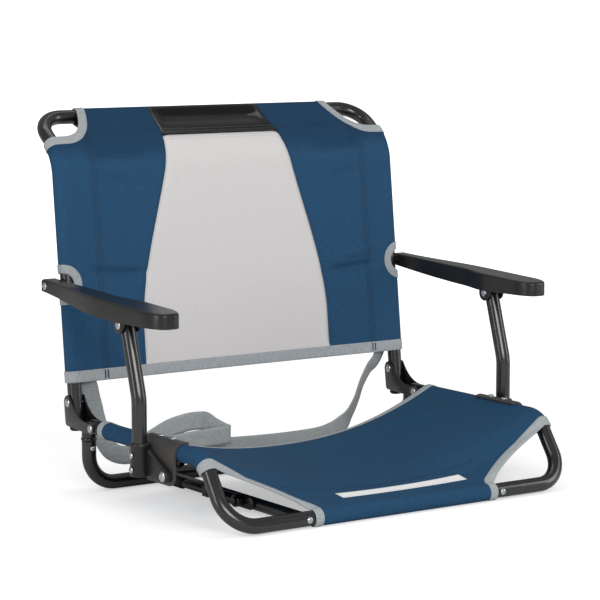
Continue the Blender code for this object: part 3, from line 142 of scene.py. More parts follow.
# %% [markdown]
# The surroundings are plain white. One level for everything would do, but then black paint mirrors too much of it. So
# the camera sees them at their full level, the chair gets about half of it, and what mirrors in the paint is darker
# again.


# %% Surroundings
def remap(tree, value, low, high, start=0.0, end=1.0, **settings):
    """Stretches a value that runs from start to end, so that it runs from low to high."""
    sockets = {"Value": value, "From Min": start, "From Max": end, "To Min": low, "To Max": high}
    return add_node(tree, "ShaderNodeMapRange", sockets, **settings).outputs[0]


def seen_directly(tree):
    """The light path, and a value that is 1 where the camera sees something itself or through a clear thing."""
    rays = add_node(tree, "ShaderNodeLightPath")
    sockets = {0: rays.outputs["Is Camera Ray"], 1: rays.outputs["Is Transmission Ray"]}
    return rays, add_node(tree, "ShaderNodeMath", sockets, operation="MAXIMUM").outputs[0]


WHITE = (1, 1, 1, 1)
world = bpy.data.worlds.new("studio")
world.use_nodes = True
scene.world = world
tree = world.node_tree
rays, seen = seen_directly(tree)
on_chair = remap(tree, rays.outputs["Is Glossy Ray"], 0.54, 0.34)
sky = tree.nodes["Background"]
sky.inputs["Color"].default_value = WHITE
tree.links.new(remap(tree, seen, on_chair, 1.0), sky.inputs["Strength"])
print("surroundings", world.name)

# %% [markdown]
# The floor is a wide plane. White paper under lamps comes out grey in places. So a rough white surface takes the
# shadow, and a faint glow, which only the camera sees, lifts it to white.


# %% Floor
def object_place(tree):
    return add_node(tree, "ShaderNodeTexCoord").outputs["Object"]


def to_mesh(bm, name):
    """Makes a mesh of a bmesh and lets the bmesh go."""
    mesh = bpy.data.meshes.new(name)
    bm.to_mesh(mesh)
    bm.free()
    return mesh


tree, shader = new_finish("studio_floor", Base_Color=hex_colour("E6E6E6"), Roughness=0.9)
_, seen = seen_directly(tree)
away = add_node(tree, "ShaderNodeVectorMath", {0: object_place(tree)}, operation="LENGTH")
lift = remap(tree, away.outputs["Value"], 0.46, 1.0, 0.5, 3.0, interpolation_type="SMOOTHSTEP")
glow = add_node(tree, "ShaderNodeMath", {0: seen, 1: lift}, operation="MULTIPLY")
shader.inputs["Emission Color"].default_value = WHITE
tree.links.new(glow.outputs[0], shader.inputs["Emission Strength"])
bm = bmesh.new()
bmesh.ops.create_grid(bm, x_segments=2, y_segments=2, size=60)
floor = add_object("floor", to_mesh(bm, "floor"))
floor.data.materials.append(FINISHES["studio_floor"])
print("floor", floor.dimensions[:2])

# %% [markdown]
# The tubes are steel with black powder coat: a dark, even paint with a slight orange-peel skin that breaks up long
# highlights. A picture of paint could be wrapped round them, but noise needs no file and has no seams. A fine noise
# gives the skin, and a broader one a little change in gloss.


# %% Finish: black powder coat on steel tube
def mix(tree, factor, a, b, kind="RGBA"):
    """A mix of two colours, or of two values."""
    return add_node(tree, "ShaderNodeMix", {"Factor": factor, "A": a, "B": b}, data_type=kind).outputs["Result"]


def spots(tree, size, detail):
    """Noise with spots of a size in metres."""
    sockets = {"Vector": object_place(tree), "Scale": 1 / size, "Detail": detail}
    return add_node(tree, "ShaderNodeTexNoise", sockets).outputs["Fac"]


def tint(tree, shader, factor, dark, light):
    """Colours a finish between two hex codes."""
    tree.links.new(mix(tree, factor, hex_colour(dark), hex_colour(light)), shader.inputs["Base Color"])


def vary_gloss(tree, shader, value, low, high):
    tree.links.new(remap(tree, value, low, high), shader.inputs["Roughness"])


def emboss(tree, shader, height, strength, distance=0.0002):
    bump = add_node(tree, "ShaderNodeBump", {"Height": height, "Strength": strength, "Distance": distance})
    tree.links.new(bump.outputs[0], shader.inputs["Normal"])


tree, shader = new_finish("powder_coat_black", Roughness=0.20, Specular_IOR_Level=0.8)
drift = spots(tree, 0.040, 3.0)
tint(tree, shader, drift, "0E0E10", "18181B")
vary_gloss(tree, shader, drift, 0.20, 0.30)
emboss(tree, shader, spots(tree, 0.0016, 1.0), 0.05)
print("powder coat", len(tree.nodes), "nodes")

# %% [markdown]
# Four moulded plastics and a rubber. The rear elbows are bright ABS, the sockets satin nylon, the arms grained
# polypropylene, the saddles a warm grey nylon, and the plugs and hook tips rubber. Each could have nodes of its own,
# but one loop keeps them alike: a spark-eroded grain from the mould, and soft mottling. A row of the table holds a
# dark and a light tone, a roughness, a depth of grain and a shine.

# %% Finish: moulded plastics and rubber
MOULDED = {"abs_gloss_black": ("0C0C0E", "151518", 0.12, 0.03, 0.75),
           "nylon_satin_black": ("161618", "202023", 0.34, 0.14, 0.50),
           "polypropylene_arm": ("161616", "20201F", 0.30, 0.10, 0.45),
           "nylon_warm_grey": ("3A3836", "484542", 0.46, 0.20, 0.45),
           "rubber_black": ("0E0E0E", "171717", 0.70, 0.25, 0.40)}
for name, (dark, light, roughness, grain, shine) in MOULDED.items():
    tree, shader = new_finish(name, Roughness=roughness, Specular_IOR_Level=shine)
    tint(tree, shader, spots(tree, 0.025, 4.0), dark, light)
    sparks = spots(tree, 0.0006, 2.0)
    vary_gloss(tree, shader, sparks, roughness - 0.06, roughness + 0.06)
    emboss(tree, shader, sparks, grain)
print("plastics", list(MOULDED))

# %% [markdown]
# Screws and rivets are steel with bright zinc plating: a metal with fine scratches from the plating drum. An even
# metal would mirror too cleanly, so one noise changes both its gloss and its tone.

# %% Finish: bright zinc plate
tree, shader = new_finish("bright_zinc", Metallic=1.0, Base_Color=hex_colour("C9CBCC"))
scuff = spots(tree, 0.0012, 3.0)
vary_gloss(tree, shader, scuff, 0.16, 0.34)
tint(tree, shader, scuff, "B4B6B8", "D8DADB")
print("zinc plate", len(tree.nodes), "nodes")

# %% [markdown]
# The navy cloth is a plain-woven polyester, the webbing and the binding are woven ribs, and the pale middle is a
# knitted mesh. Threads could be modelled one by one, but there are far too many, so the finish draws them. Each
# sheet's UV map holds its own lengths in metres, so the weave keeps its pitch and follows the cloth round the tubes.
# A plain weave is two wave patterns compared: where both are up or both down, one thread lies on top. Real threads of
# about half a millimetre are too fine to show, so they are drawn coarser. Slubs, which are thicker bits of yarn, make
# the tone a little uneven. The back panels' cloth is doubled near its top, and a band of painted shade darkens it
# there. A row of the table holds a dark and a light tone, the pitch of warp and weft, the depth of the weave, a
# roughness, a shine and the share of the slubs.

# %% Finish: woven cloths
WAVE_PERIOD = math.tau / 20
SLUB_LENGTH, SLUB_WIDTH = 0.009, 0.0016
PAINTED_SHADE_FROM, PAINTED_SHADE_TO = 0.285, 0.318
WOVEN = {"navy_polyester": ("0C2C47", "30597A", 0.0014, 0.0014, 0.35, 0.80, 0.12, 0.24),
         "navy_polyester_back_painted_shade": ("0E2F4A", "335D80", 0.0014, 0.0014, 0.35, 0.80, 0.12, 0.24),
         "pale_mesh": ("BFBBBB", "DCD9D9", 0.0022, 0.0022, 0.45, 0.88, 0.20, 0.18),
         "coated_black": ("08080A", "101012", 0.0012, 0.0012, 0.08, 0.18, 0.32, 0.22),
         "grey_webbing": ("6A7072", "BEC3C5", 0.0016, 0.0026, 0.60, 0.80, 0.30, 0.45),
         "grey_binding": ("7C8285", "B8BDC0", 0.0011, 0.0030, 0.45, 0.78, 0.30, 0.50),
         "label_white": ("E4E4E4", "F4F4F4", 0.0010, 0.0010, 0.10, 0.70, 0.30, 0.22)}


def stripes(tree, vector, pitch, way, **sockets):
    """Soft stripes with a pitch in metres."""
    sockets.update(Vector=vector, Scale=WAVE_PERIOD / pitch)
    return add_node(tree, "ShaderNodeTexWave", sockets, bands_direction=way).outputs["Fac"]


for name, (dark, light, warp, weft, depth, roughness, shine, slubs) in WOVEN.items():
    tree, shader = new_finish(name, Roughness=roughness, Specular_IOR_Level=shine)
    flat = add_node(tree, "ShaderNodeUVMap", uv_map="cloth").outputs[0]
    warp_up = stripes(tree, flat, warp, "X", Distortion=0.4, Detail=1.0)
    weft_up = stripes(tree, flat, weft, "Y", Distortion=0.4, Detail=1.0)
    weft_down = add_node(tree, "ShaderNodeMath", {0: 1.0, 1: weft_up}, operation="SUBTRACT").outputs[0]
    weave = mix(tree, warp_up, weft_down, weft_up, "FLOAT")
    yarn = add_node(tree, "ShaderNodeMapping", {"Vector": flat, "Scale": (1 / SLUB_LENGTH, 1 / SLUB_WIDTH, 1.0)})
    slub = add_node(tree, "ShaderNodeTexNoise", {"Vector": yarn.outputs[0], "Scale": 1.0, "Detail": 3.0,
                                                 "Roughness": 0.6})
    uneven = remap(tree, slub.outputs["Fac"], 0.0, 1.0, 0.3, 0.7)
    tone = mix(tree, mix(tree, slubs, weave, uneven, "FLOAT"), hex_colour(dark), hex_colour(light))
    # Painted shade: a darker band near the top of the back panels, where the cloth is doubled.
    if name == "navy_polyester_back_painted_shade":
        rise = add_node(tree, "ShaderNodeSeparateXYZ", {0: flat}).outputs["Y"]
        painted_shade = remap(tree, rise, 0.0, 0.45, PAINTED_SHADE_FROM, PAINTED_SHADE_TO, interpolation_type="SMOOTHSTEP")
        tone = mix(tree, painted_shade, tone, hex_colour("07213A"))
    tree.links.new(tone, shader.inputs["Base Color"])
    emboss(tree, shader, weave, depth, 0.0003)
print("cloths", list(WOVEN))

# %% [markdown]
# Sewing thread is a twisted strand. The strands could be wound as meshes, but at this size fine slanted stripes of
# painted highlight and shade, where the twist catches the light, look the same.

# %% Finish: sewing threads
TWIST = 0.0006
THREADS = {"thread_navy": ("0D2135", "1A3753"), "thread_grey": ("8A8F92", "B4B9BB"),
           "thread_pale": ("8F9192", "C9CBCC"), "thread_black": ("232325", "6A6C6E")}
for name, (dark, light) in THREADS.items():
    tree, shader = new_finish(name, Roughness=0.7)
    # Painted highlight and shade: slanted light and dark stripes stand for the lit and shaded turns of the twist.
    tint(tree, shader, stripes(tree, object_place(tree), TWIST, "DIAGONAL", Distortion=1.0), dark, light)
print("threads", list(THREADS))

# %% [markdown]
# One helper turns a finished bmesh into a piece: it smooths the mesh, gives it its finish, hangs it on the body
# that it moves with and hides the solid that it stands for. Pieces of one stuff share one material, so that they can
# be recoloured together.

# %% Helper: a finished piece
SIDES = ((-1, "left"), (1, "right"))


def make_piece(name, bm, finish, body, node=None, angle=35):
    """A piece with its finish. Edges sharper than the angle, in degrees, stay sharp."""
    piece = add_object(name, to_mesh(bm, name))
    piece.data.shade_smooth()
    piece.data.set_sharp_from_angle(angle=math.radians(angle))
    piece.data.materials.append(FINISHES[finish])
    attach(piece, body)
    if node:
        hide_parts(node)
    return piece


def stand_in(node, suffix, bm, finish, body, angle=35):
    """A piece that takes a solid's place and is named after it."""
    return make_piece(f"{node}_{suffix}", bm, finish, body, node, angle)


# %% [markdown]
# A tube bender feeds a straight tube and swings it round a former at each bend. The same can be done here: a
# circle is extruded along each straight run and spun round each bend. A curve with a bevel would do too, but spin
# keeps the bends true arcs with evenly spaced rings.


# %% Helper: bend a tube
def verts_in(geometry):
    return [item for item in geometry if isinstance(item, bmesh.types.BMVert)]


def edges_at(verts):
    return list({edge for vert in verts for edge in vert.link_edges})


def ends_of(edges):
    return list({vert for edge in edges for vert in edge.verts})


def feed(bm, ring, move):
    """Extrudes the open end of a tube along a straight run."""
    grown = set(verts_in(bmesh.ops.extrude_edge_only(bm, edges=ring)["geom"]))
    bmesh.ops.translate(bm, vec=move, verts=list(grown))
    return [edge for edge in bm.edges if edge.verts[0] in grown and edge.verts[1] in grown]


def widen(bm, ring, size, middle):
    bmesh.ops.scale(bm, vec=Vector(size), verts=ends_of(ring), space=Matrix.Translation(-middle))


def bend_tube(bm, corners, bends, radius, sides=28, steps=14, rim=0.0006):
    """A closed tube with softened ends, through corners that are rounded by bend radii."""
    corners = [Vector(corner) for corner in corners]
    first = (corners[1] - corners[0]).normalized()
    turn = first.to_track_quat("Z", "Y").to_matrix().to_4x4()
    made = bmesh.ops.create_circle(bm, segments=sides, radius=radius - rim,
                                   matrix=Matrix.Translation(corners[0]) @ turn)
    ring = edges_at(made["verts"])
    caps = [ring]
    place = corners[0] + first * rim
    ring = feed(bm, ring, first * rim)
    widen(bm, ring, [radius / (radius - rim)] * 3, place)
    last = corners[-1] - (corners[-1] - corners[-2]).normalized() * rim
    for before, corner, after, bend in zip(corners, corners[1:], corners[2:], bends):
        into, out = (corner - before).normalized(), (after - corner).normalized()
        swing = into.angle(out)
        begin = corner - into * bend * math.tan(swing / 2)
        if (begin - place).length > 1e-6:
            ring = feed(bm, ring, begin - place)
        centre = begin + (out - into * into.dot(out)).normalized() * bend
        spun = bmesh.ops.spin(bm, geom=ring + ends_of(ring), cent=centre, axis=into.cross(out).normalized(),
                              angle=swing, steps=steps)["geom_last"]
        ring = [item for item in spun if isinstance(item, bmesh.types.BMEdge)]
        place = corner + out * bend * math.tan(swing / 2)
    ring = feed(bm, feed(bm, ring, last - place), corners[-1] - last)
    widen(bm, ring, [(radius - rim) / radius] * 3, corners[-1])
    caps.append(ring)
    for cap in caps:
        bmesh.ops.contextual_create(bm, geom=cap)
    bmesh.ops.recalc_face_normals(bm, faces=bm.faces)


# %% [markdown]
# The seat frame: two side tubes that run along the rails, slant down to the front and turn in under the seat, a bent
# rear leg and two runners on the floor. All are 19 mm tube, the runners 16 mm. Each is given as on a workshop
# drawing, by its corners and a bend radius at each, and the helper bends it.

# %% Seat frame tubes
TUBE_R, RUNNER_R = 0.0095, 0.008
HALF = 0.262
RAIL_Z, RAIL_END_Y, RAIL_BEND_R = 0.088, 0.059697, 0.038
FRONT_Y, FRONT_Z, FRONT_SLANT, FRONT_BEND_R = -0.236003, 0.01115, 0.054, 0.042
SIDE_TUBE_END = 0.118
HINGE_Y = 0.077997
REAR_Y, LEG_TOP, LEG_BEND_R = 0.101997, RAIL_Z - 0.0203, 0.038
RUNNER_X, RUNNER_Z, RUNNER_GAP = 0.151, 0.0105, 0.0098


def coated_tube(node, body, corners, bends, radius=TUBE_R, name=None):
    bm = bmesh.new()
    bend_tube(bm, corners, bends, radius)
    make_piece(name or f"{node}_coated", bm, "powder_coat_black", body, node)


for side, word in SIDES:
    x = side * HALF
    coated_tube(f"side_tube_{word}", "seat",
                [(x, RAIL_END_Y, RAIL_Z), (x, FRONT_Y + FRONT_SLANT, RAIL_Z), (x, FRONT_Y, FRONT_Z),
                 (side * SIDE_TUBE_END, FRONT_Y, FRONT_Z)], [RAIL_BEND_R, FRONT_BEND_R])
    x = side * RUNNER_X
    coated_tube(f"runner_{word}", "seat",
                [(x, REAR_Y - RUNNER_GAP, RUNNER_Z), (x, FRONT_Y + RUNNER_GAP, RUNNER_Z)], [], RUNNER_R)
coated_tube("rear_leg_tube", "seat",
            [(-HALF, REAR_Y, LEG_TOP), (-HALF, REAR_Y, TUBE_R), (HALF, REAR_Y, TUBE_R), (HALF, REAR_Y, LEG_TOP)],
            [LEG_BEND_R, LEG_BEND_R], name="rear_leg_coated")
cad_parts["front_cross_tube"].data.materials.clear()
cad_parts["front_cross_tube"].data.materials.append(FINISHES["powder_coat_black"])
print("seat frame tubes made")

# %% [markdown]
# Each back tube leans back by 6.3 degrees, bends further back near its top and turns in to meet the other half. Its
# corners alone would do for the tube. A function of the length up the tube is used as well, because the cloth has to
# follow the same line.

# %% Back tubes
RECLINE = math.radians(6.3)
UPRIGHT_STRAIGHT, TOP_BEND_R, TOP_BEND = 0.325, 0.060, math.radians(48)
BEND_END = UPRIGHT_STRAIGHT + TOP_BEND_R * TOP_BEND
TOP_STRAIGHT, TOP_CORNER_R = 0.015, 0.036
TOP_END = BEND_END + TOP_STRAIGHT + TOP_CORNER_R
FOOT_Y, FOOT_RISE = 0.134297, -0.006
BAR_JOINT_X, BAR_JOINT_GAP = -0.060, 0.00015


def lean_ways(lean):
    """The upward direction and the backward normal at a lean."""
    return Vector((0, math.sin(lean), math.cos(lean))), Vector((0, math.cos(lean), -math.sin(lean)))


def back_axis(rise):
    """Place, upward direction and backward normal of the upright's axis, at a length up from the hinge."""
    low_up, low_back = lean_ways(RECLINE)
    up, back = lean_ways(RECLINE + min(max(rise - UPRIGHT_STRAIGHT, 0) / TOP_BEND_R, TOP_BEND))
    place = Vector((0, FOOT_Y, RAIL_Z)) + low_up * min(rise, UPRIGHT_STRAIGHT)
    if rise > UPRIGHT_STRAIGHT:
        place += TOP_BEND_R * (low_back - back)
    if rise > BEND_END:
        place += up * (rise - BEND_END)
    return place, up, back


foot_place, low_up, _ = back_axis(FOOT_RISE)
high_place = back_axis(TOP_END)[0]
bend_corner = back_axis(UPRIGHT_STRAIGHT)[0] + low_up * TOP_BEND_R * math.tan(TOP_BEND / 2)
for side, word in SIDES:
    across = Vector((side * HALF, 0, 0))
    end = Vector((BAR_JOINT_X + side * BAR_JOINT_GAP, high_place.y, high_place.z))
    coated_tube(f"back_tube_{word}", "back", [foot_place + across, bend_corner + across, high_place + across, end],
                [TOP_BEND_R, TOP_CORNER_R])
print("back tubes reach", round(high_place.z + TUBE_R, 4))

# %% [markdown]
# The arm posts are bent once, half way up. The top end sits between the arm's ears. Two straight tubes could be
# joined there, but a real bend has no seam, and the helper makes it from three points.

# %% Arm posts
POST_X, POST_Y = 0.2893, -0.074003
POST_FOOT_Z, POST_CORNER_Z, POST_BEND_R = 0.058, 0.150, 0.060
POST_PIVOT = Vector((0, -0.123003, 0.060))
POST_TOP = Vector((0, -0.04683, 0.240))
PAST_PIN = 0.008
for side, word in SIDES:
    x = side * POST_X
    corner = Vector((x, POST_Y, POST_CORNER_Z))
    top = Vector((x, POST_TOP.y, POST_TOP.z))
    coated_tube(f"post_{word}", f"post_{word}",
                [(x, POST_Y, POST_FOOT_Z), corner, top + (top - corner).normalized() * PAST_PIN], [POST_BEND_R])
print("posts reach", round(POST_TOP.z, 3))

# %% [markdown]
# The cloth is worked out flat first, as a sewer would lay it out: a is the distance across from the middle and b
# the distance along. One function for the seat and one for the back say where each flat point ends up, so that
# cloth, binding and stitches all follow the same shape. A cloth simulation could hang the seat too, but functions
# give the same shape on each run and let the tape follow it exactly.

# %% The seat's flat sizes
CLOTH, SLEEVE_GAP, SEAT_END_GAP = 0.0012, 0.00045, 0.0003
SLEEVE_R = TUBE_R + SLEEVE_GAP + CLOTH / 2
LEAVE_ANGLE = math.radians(115)
LEAVE_X = HALF + SLEEVE_R * math.cos(LEAVE_ANGLE)
POCKET_HALF = 0.141
FLANK = LEAVE_X - POCKET_HALF
SEAT_REAR_B = RAIL_END_Y - SEAT_END_GAP - FRONT_Y
SEAT_REAR_Z = 0.045
BEND_B = FRONT_SLANT + RAIL_BEND_R * math.tan(math.atan2(RAIL_Z - FRONT_Z, FRONT_SLANT) / 2)
SLEEVE_FRONT_B = BEND_B - RAIL_BEND_R * math.radians(50)
SLEEVE_WRAP = SLEEVE_R * (LEAVE_ANGLE + math.radians(188))
POCKET_WRAP = SLEEVE_R * math.radians(264)
print("seat cloth leaves the rail at x", round(LEAVE_X, 4))

# %% [markdown]
# Slung cloth is never quite smooth: it has soft folds where it is pulled. They could be sculpted by hand. Here a fold
# is a line with two ends, a half width and a height, so that it can be moved by changing a number.

# %% Folds in the cloth
SEAT_FOLDS = [(0.130, 0.270, 0.240, 0.185, 0.014, 0.0034), (-0.120, 0.270, -0.232, 0.200, 0.012, -0.0020),
              (0.020, 0.120, 0.160, 0.150, 0.030, -0.0016)]


def ease(t):
    """A smooth step from 0 to 1."""
    t = min(max(t, 0.0), 1.0)
    return t * t * (3 - 2 * t)


def folds_at(folds, a, b):
    """How far soft folds lift the cloth at a flat point. Each fold has two ends, a half width and a height."""
    lift = 0.0
    for a0, b0, a1, b1, width, height in folds:
        reach = (a1 - a0) ** 2 + (b1 - b0) ** 2
        t = ((a - a0) * (a1 - a0) + (b - b0) * (b1 - b0)) / reach
        away = ((a - a0) * (b1 - b0) - (b - b0) * (a1 - a0)) / math.sqrt(reach)
        lift += height * math.exp(-(away / width) ** 2) * ease(t / 0.35) * ease((1 - t) / 0.35)
    return lift


print("folds in the seat", len(SEAT_FOLDS))

# %% [markdown]
# The seat's front corners are cut out in a curve, and their bound edge rolls down a little. The curve could be drawn
# once for the cloth. It is a function of the distance across, because tape and stitches have to meet on it too.


# %% The seat's front corners
def spread(start, end, count):
    """Evenly spaced values, both ends with them."""
    return [start + (end - start) * k / (count - 1) for k in range(count)]


def flank_share(a):
    """How far a place across lies on the way from the front pocket's end to the rail, from 0 to 1."""
    return min(max((abs(a) - POCKET_HALF) / FLANK, 0.0), 1.0)


def cut_b(a):
    """Where the seat's front edge lies, at a distance across."""
    cut = flank_share(a)
    return SLEEVE_FRONT_B * (0.45 * cut**0.6 + 0.55 * cut * (1.75 - 0.75 * cut))


def flank_places(count):
    """Places across the cut front corner, closest where its edge is steep."""
    return [POCKET_HALF + FLANK * t**2 for t in spread(0, 1, count)]


CORNER_LINE = [(a, cut_b(a)) for a in flank_places(161)]
ROLL, ROLL_WIDTH, ROLL_REACH = 0.0012, 0.014, 0.016
SOFT_END = 0.012


def edge_roll(a, b):
    """How far the bound front corner rolls down at a flat point."""
    if abs(a) < POCKET_HALF - ROLL_REACH or b > SLEEVE_FRONT_B + ROLL_REACH:
        return 0.0
    away = min(math.hypot(abs(a) - x, b - y) for x, y in CORNER_LINE)
    ends = ease((LEAVE_X - abs(a)) / 0.020) * ease(b / SOFT_END)
    return ROLL * max(1 - away / ROLL_WIDTH, 0.0) ** 2 * ends


print("front corners are cut back by", round(cut_b(LEAVE_X), 4))

# %% [markdown]
# The seat's cloth lies in three parts: round the sleeve of a rail, in the front pocket, and slung between them. One
# function chooses the part for a flat point, so that the parts meet without a gap.

# %% Where the seat's cloth lies
CURL, CURL_WIDTH = 0.007, 0.030


def rail_point(side, b, angle):
    """A point on the sleeve round a rail. The sleeve follows the rail into its front bend."""
    tilt = max(BEND_B - b, 0.0) / RAIL_BEND_R
    y = FRONT_Y + max(b, BEND_B) - RAIL_BEND_R * math.sin(tilt)
    z = RAIL_Z - RAIL_BEND_R * (1 - math.cos(tilt))
    rise = SLEEVE_R * math.sin(angle)
    return Vector((side * (HALF + SLEEVE_R * math.cos(angle)), y - rise * math.sin(tilt), z + rise * math.cos(tilt)))


def seat_place(a, b):
    """Where a flat point of the seat ends up: on a rail's sleeve, in the front pocket or on the slung middle."""
    side = -1 if a < 0 else 1
    if abs(a) > LEAVE_X:
        return rail_point(side, b, LEAVE_ANGLE - (abs(a) - LEAVE_X) / SLEEVE_R)
    if b < 0:
        angle = math.pi / 2 + b / SLEEVE_R
        return Vector((a, FRONT_Y - SLEEVE_R * math.cos(angle), FRONT_Z + SLEEVE_R * math.sin(angle)))
    leave = rail_point(side, max(b, SLEEVE_FRONT_B), LEAVE_ANGLE)
    y = FRONT_Y + b + (leave.y - FRONT_Y - max(b, SLEEVE_FRONT_B)) * ease(flank_share(a))
    along = 1 - b / SEAT_REAR_B
    middle = SEAT_REAR_Z + (FRONT_Z + SLEEVE_R - SEAT_REAR_Z) * along
    power = math.tan(LEAVE_ANGLE - math.pi / 2) * LEAVE_X / (leave.z - middle)
    slung = 1 - ease((along - 0.62) / 0.38)
    beyond = abs(a) - POCKET_HALF
    reach = min((beyond + math.hypot(beyond, SOFT_END)) / 2 / (FLANK + 0.0003), 1.0)
    rise = slung * (abs(a) / LEAVE_X) ** power + (1 - slung) * reach**0.9 * ease(b / SOFT_END)
    curl = CURL * max(1 - (SEAT_REAR_B - b) / CURL_WIDTH, 0.0) ** 2 * (1 - (a / LEAVE_X) ** 2)
    z = middle + (leave.z - middle) * rise - curl - edge_roll(a, b) + folds_at(SEAT_FOLDS, a, b)
    return Vector((a, y, z))


print("middle of the seat at height", round(seat_place(0, SEAT_REAR_B / 2).z, 4))

# %% [markdown]
# A sheet starts as a flat grid, and each of its points is moved to where the cloth lies. Its UV map keeps the lengths
# along the cloth. Both faces could be drawn, but the Solidify modifier gives the sheet an even thickness by itself.


# %% Helper: a sheet of cloth
def grid_sheet(points, gone=()):
    """A grid moved onto rows of points, without the cells in gone. UVs hold lengths in metres."""
    points = np.array(points, float)
    rows, columns = points.shape[:2]
    bm = bmesh.new()
    made = bmesh.ops.create_grid(bm, x_segments=columns - 1, y_segments=rows - 1, size=0.5)["verts"]
    across = np.cumsum(np.linalg.norm(np.diff(points, axis=1, prepend=points[:, :1]), axis=2), axis=1)
    along = np.cumsum(np.linalg.norm(np.diff(points, axis=0, prepend=points[:1]), axis=2), axis=0)
    across -= across[:, columns // 2:columns // 2 + 1]
    cell = {}
    for vert in made:
        cell[vert] = round((vert.co.y + 0.5) * (rows - 1)), round((vert.co.x + 0.5) * (columns - 1))
        vert.co = points[cell[vert]]
    layer = bm.loops.layers.uv.new("cloth")
    dropped = []
    for face in bm.faces:
        for loop in face.loops:
            loop[layer].uv = (across[cell[loop.vert]], along[cell[loop.vert]])
        if tuple(np.min([cell[vert] for vert in face.verts], axis=0)) in gone:
            dropped.append(face)
    bmesh.ops.delete(bm, geom=dropped, context="FACES")
    bmesh.ops.delete(bm, geom=[vert for vert in bm.verts if not vert.link_faces], context="VERTS")
    return bm


def thicken(piece, thickness, offset=0.0):
    """Gives a sheet its thickness, and tells its area before that."""
    area = sum(polygon.area for polygon in piece.data.polygons)
    wall = piece.modifiers.new("thickness", "SOLIDIFY")
    wall.thickness = thickness
    wall.offset = offset
    return area


# %% [markdown]
# The seat is one cloth with a sleeve round each rail and a pocket round the front bar. Its front corners are cut out
# in a curve, so that the bent front legs stay free. It could be joined from four sheets, but one grid with cells left
# out lets the weave run through.

# %% Seat sling
SEAT_ROWS, POCKET_ROWS = 61, 21
half = spread(0, POCKET_HALF, 26) + flank_places(41)[1:] + [LEAVE_X + SLEEVE_WRAP * t for t in spread(0, 1, 31)[1:]]
across_seat = [-a for a in reversed(half[1:])] + half
points = [[seat_place(a, SEAT_REAR_B + (cut_b(a) - SEAT_REAR_B) * t) for a in across_seat]
          for t in spread(0, 1, SEAT_ROWS)]
points += [[seat_place(a, -POCKET_WRAP * t if abs(a) <= POCKET_HALF + 1e-9 else cut_b(a)) for a in across_seat]
           for t in spread(0, 1, POCKET_ROWS)[1:]]
beside = [column for column, pair in enumerate(zip(across_seat, across_seat[1:]))
          if max(map(abs, pair)) > POCKET_HALF + 1e-6]
gone = {(row, column) for row in range(SEAT_ROWS - 1, len(points)) for column in beside}
seat_sling = stand_in("seat_sling", "woven", grid_sheet(points, gone), "navy_polyester", "seat", 80)
seat_area = thicken(seat_sling, CLOTH)
print("seat cloth", round(seat_area, 4), "m2")

# %% [markdown]
# The back's cloth stands in front of the two uprights. It sags a little between them, and has soft folds beside the
# arms and below the top seam. It could be sculpted. As for the seat, a function gives the place of a flat point, so
# that tape and stitches can follow it.

# %% Where the back's cloth lies
HEM_RISE = 0.053
SIDE_SLEEVE_TOP = 0.372
SEAM_INBOARD = 0.043
SEAM_X = HALF - SEAM_INBOARD
TOP_SLEEVE_HALF, TOP_SEAM_DROP = 0.203, 0.0575
TOP_SEAM = TOP_END - TOP_SEAM_DROP
LAYER_CLEARANCE = 0.0006
LAYER_GAP = CLOTH + LAYER_CLEARANCE
FRONT_LAYER, REAR_LAYER = -SLEEVE_R, LAYER_GAP - SLEEVE_R
MESH_FOOT_HALF, MESH_NARROWING, MESH_OFF_MIDDLE = 0.150, 0.0615, 0.005
NARROW_FROM, NARROW_OVER = 0.112, 0.313
BACK_SAG = 0.006
DRAWN_IN, DRAWN_DEEPEST, DRAWN_END = 0.0055, 0.013, 0.044
BACK_FOLDS = [(-0.244, 0.196, -0.130, 0.188, 0.0060, -0.0056), (-0.244, 0.168, -0.150, 0.134, 0.0060, 0.0050),
              (-0.236, 0.348, -0.112, 0.342, 0.0055, -0.0052), (-0.225, 0.322, -0.140, 0.304, 0.0060, -0.0026),
              (0.244, 0.180, 0.135, 0.171, 0.0060, -0.0062), (0.240, 0.206, 0.165, 0.190, 0.0055, 0.0030),
              (0.236, 0.350, 0.118, 0.340, 0.0055, -0.0052), (0.228, 0.320, 0.150, 0.300, 0.0060, -0.0026)]


def mesh_edge(side, rise):
    """Where the mesh ends on one side. It narrows towards the top, and is sewn in a little off the middle."""
    return side * (MESH_FOOT_HALF - MESH_NARROWING * ease((rise - NARROW_FROM) / NARROW_OVER)) - MESH_OFF_MIDDLE


def back_point(x, rise, behind=FRONT_LAYER):
    """A point on the front layer of the back. Below the top bar, the pocket between the panels is drawn in."""
    place, _, back = back_axis(rise)
    below = TOP_END - rise
    if behind < 0.9 * FRONT_LAYER and 0 < below < DRAWN_END:
        share = ease(below / DRAWN_DEEPEST)
        if below >= DRAWN_DEEPEST:
            share = 1 - ease((below - DRAWN_DEEPEST) / (DRAWN_END - DRAWN_DEEPEST))
        behind += DRAWN_IN * share * ease(min(mesh_edge(1, TOP_END) - x, x - mesh_edge(-1, TOP_END)) / 0.020)
    sag = BACK_SAG * (1 - min(abs(x) / SEAM_X, 1.0) ** 2) * (1 - ease((rise - HEM_RISE) / (TOP_SEAM - HEM_RISE)))
    point = place + back * (behind + sag - folds_at(BACK_FOLDS, x, rise))
    point.x = x
    return point


print("top seam at height", round(back_point(0, TOP_SEAM).z, 4))

# %% [markdown]
# Round each tube the cloth turns until it can leave in a straight line for its seam. The angle could be tried out by
# eye. It is worked out from the tube's radius and the seam's place, as for a belt that leaves a pulley, so that the
# rear layer is taut.


# %% Round the uprights and the top bar
def wrap_turn(inboard, ahead):
    """How far cloth turns round a tube past its outermost point, before it leaves for its seam."""
    return math.pi + math.atan2(ahead, inboard) - math.acos(SLEEVE_R / math.hypot(inboard, ahead))


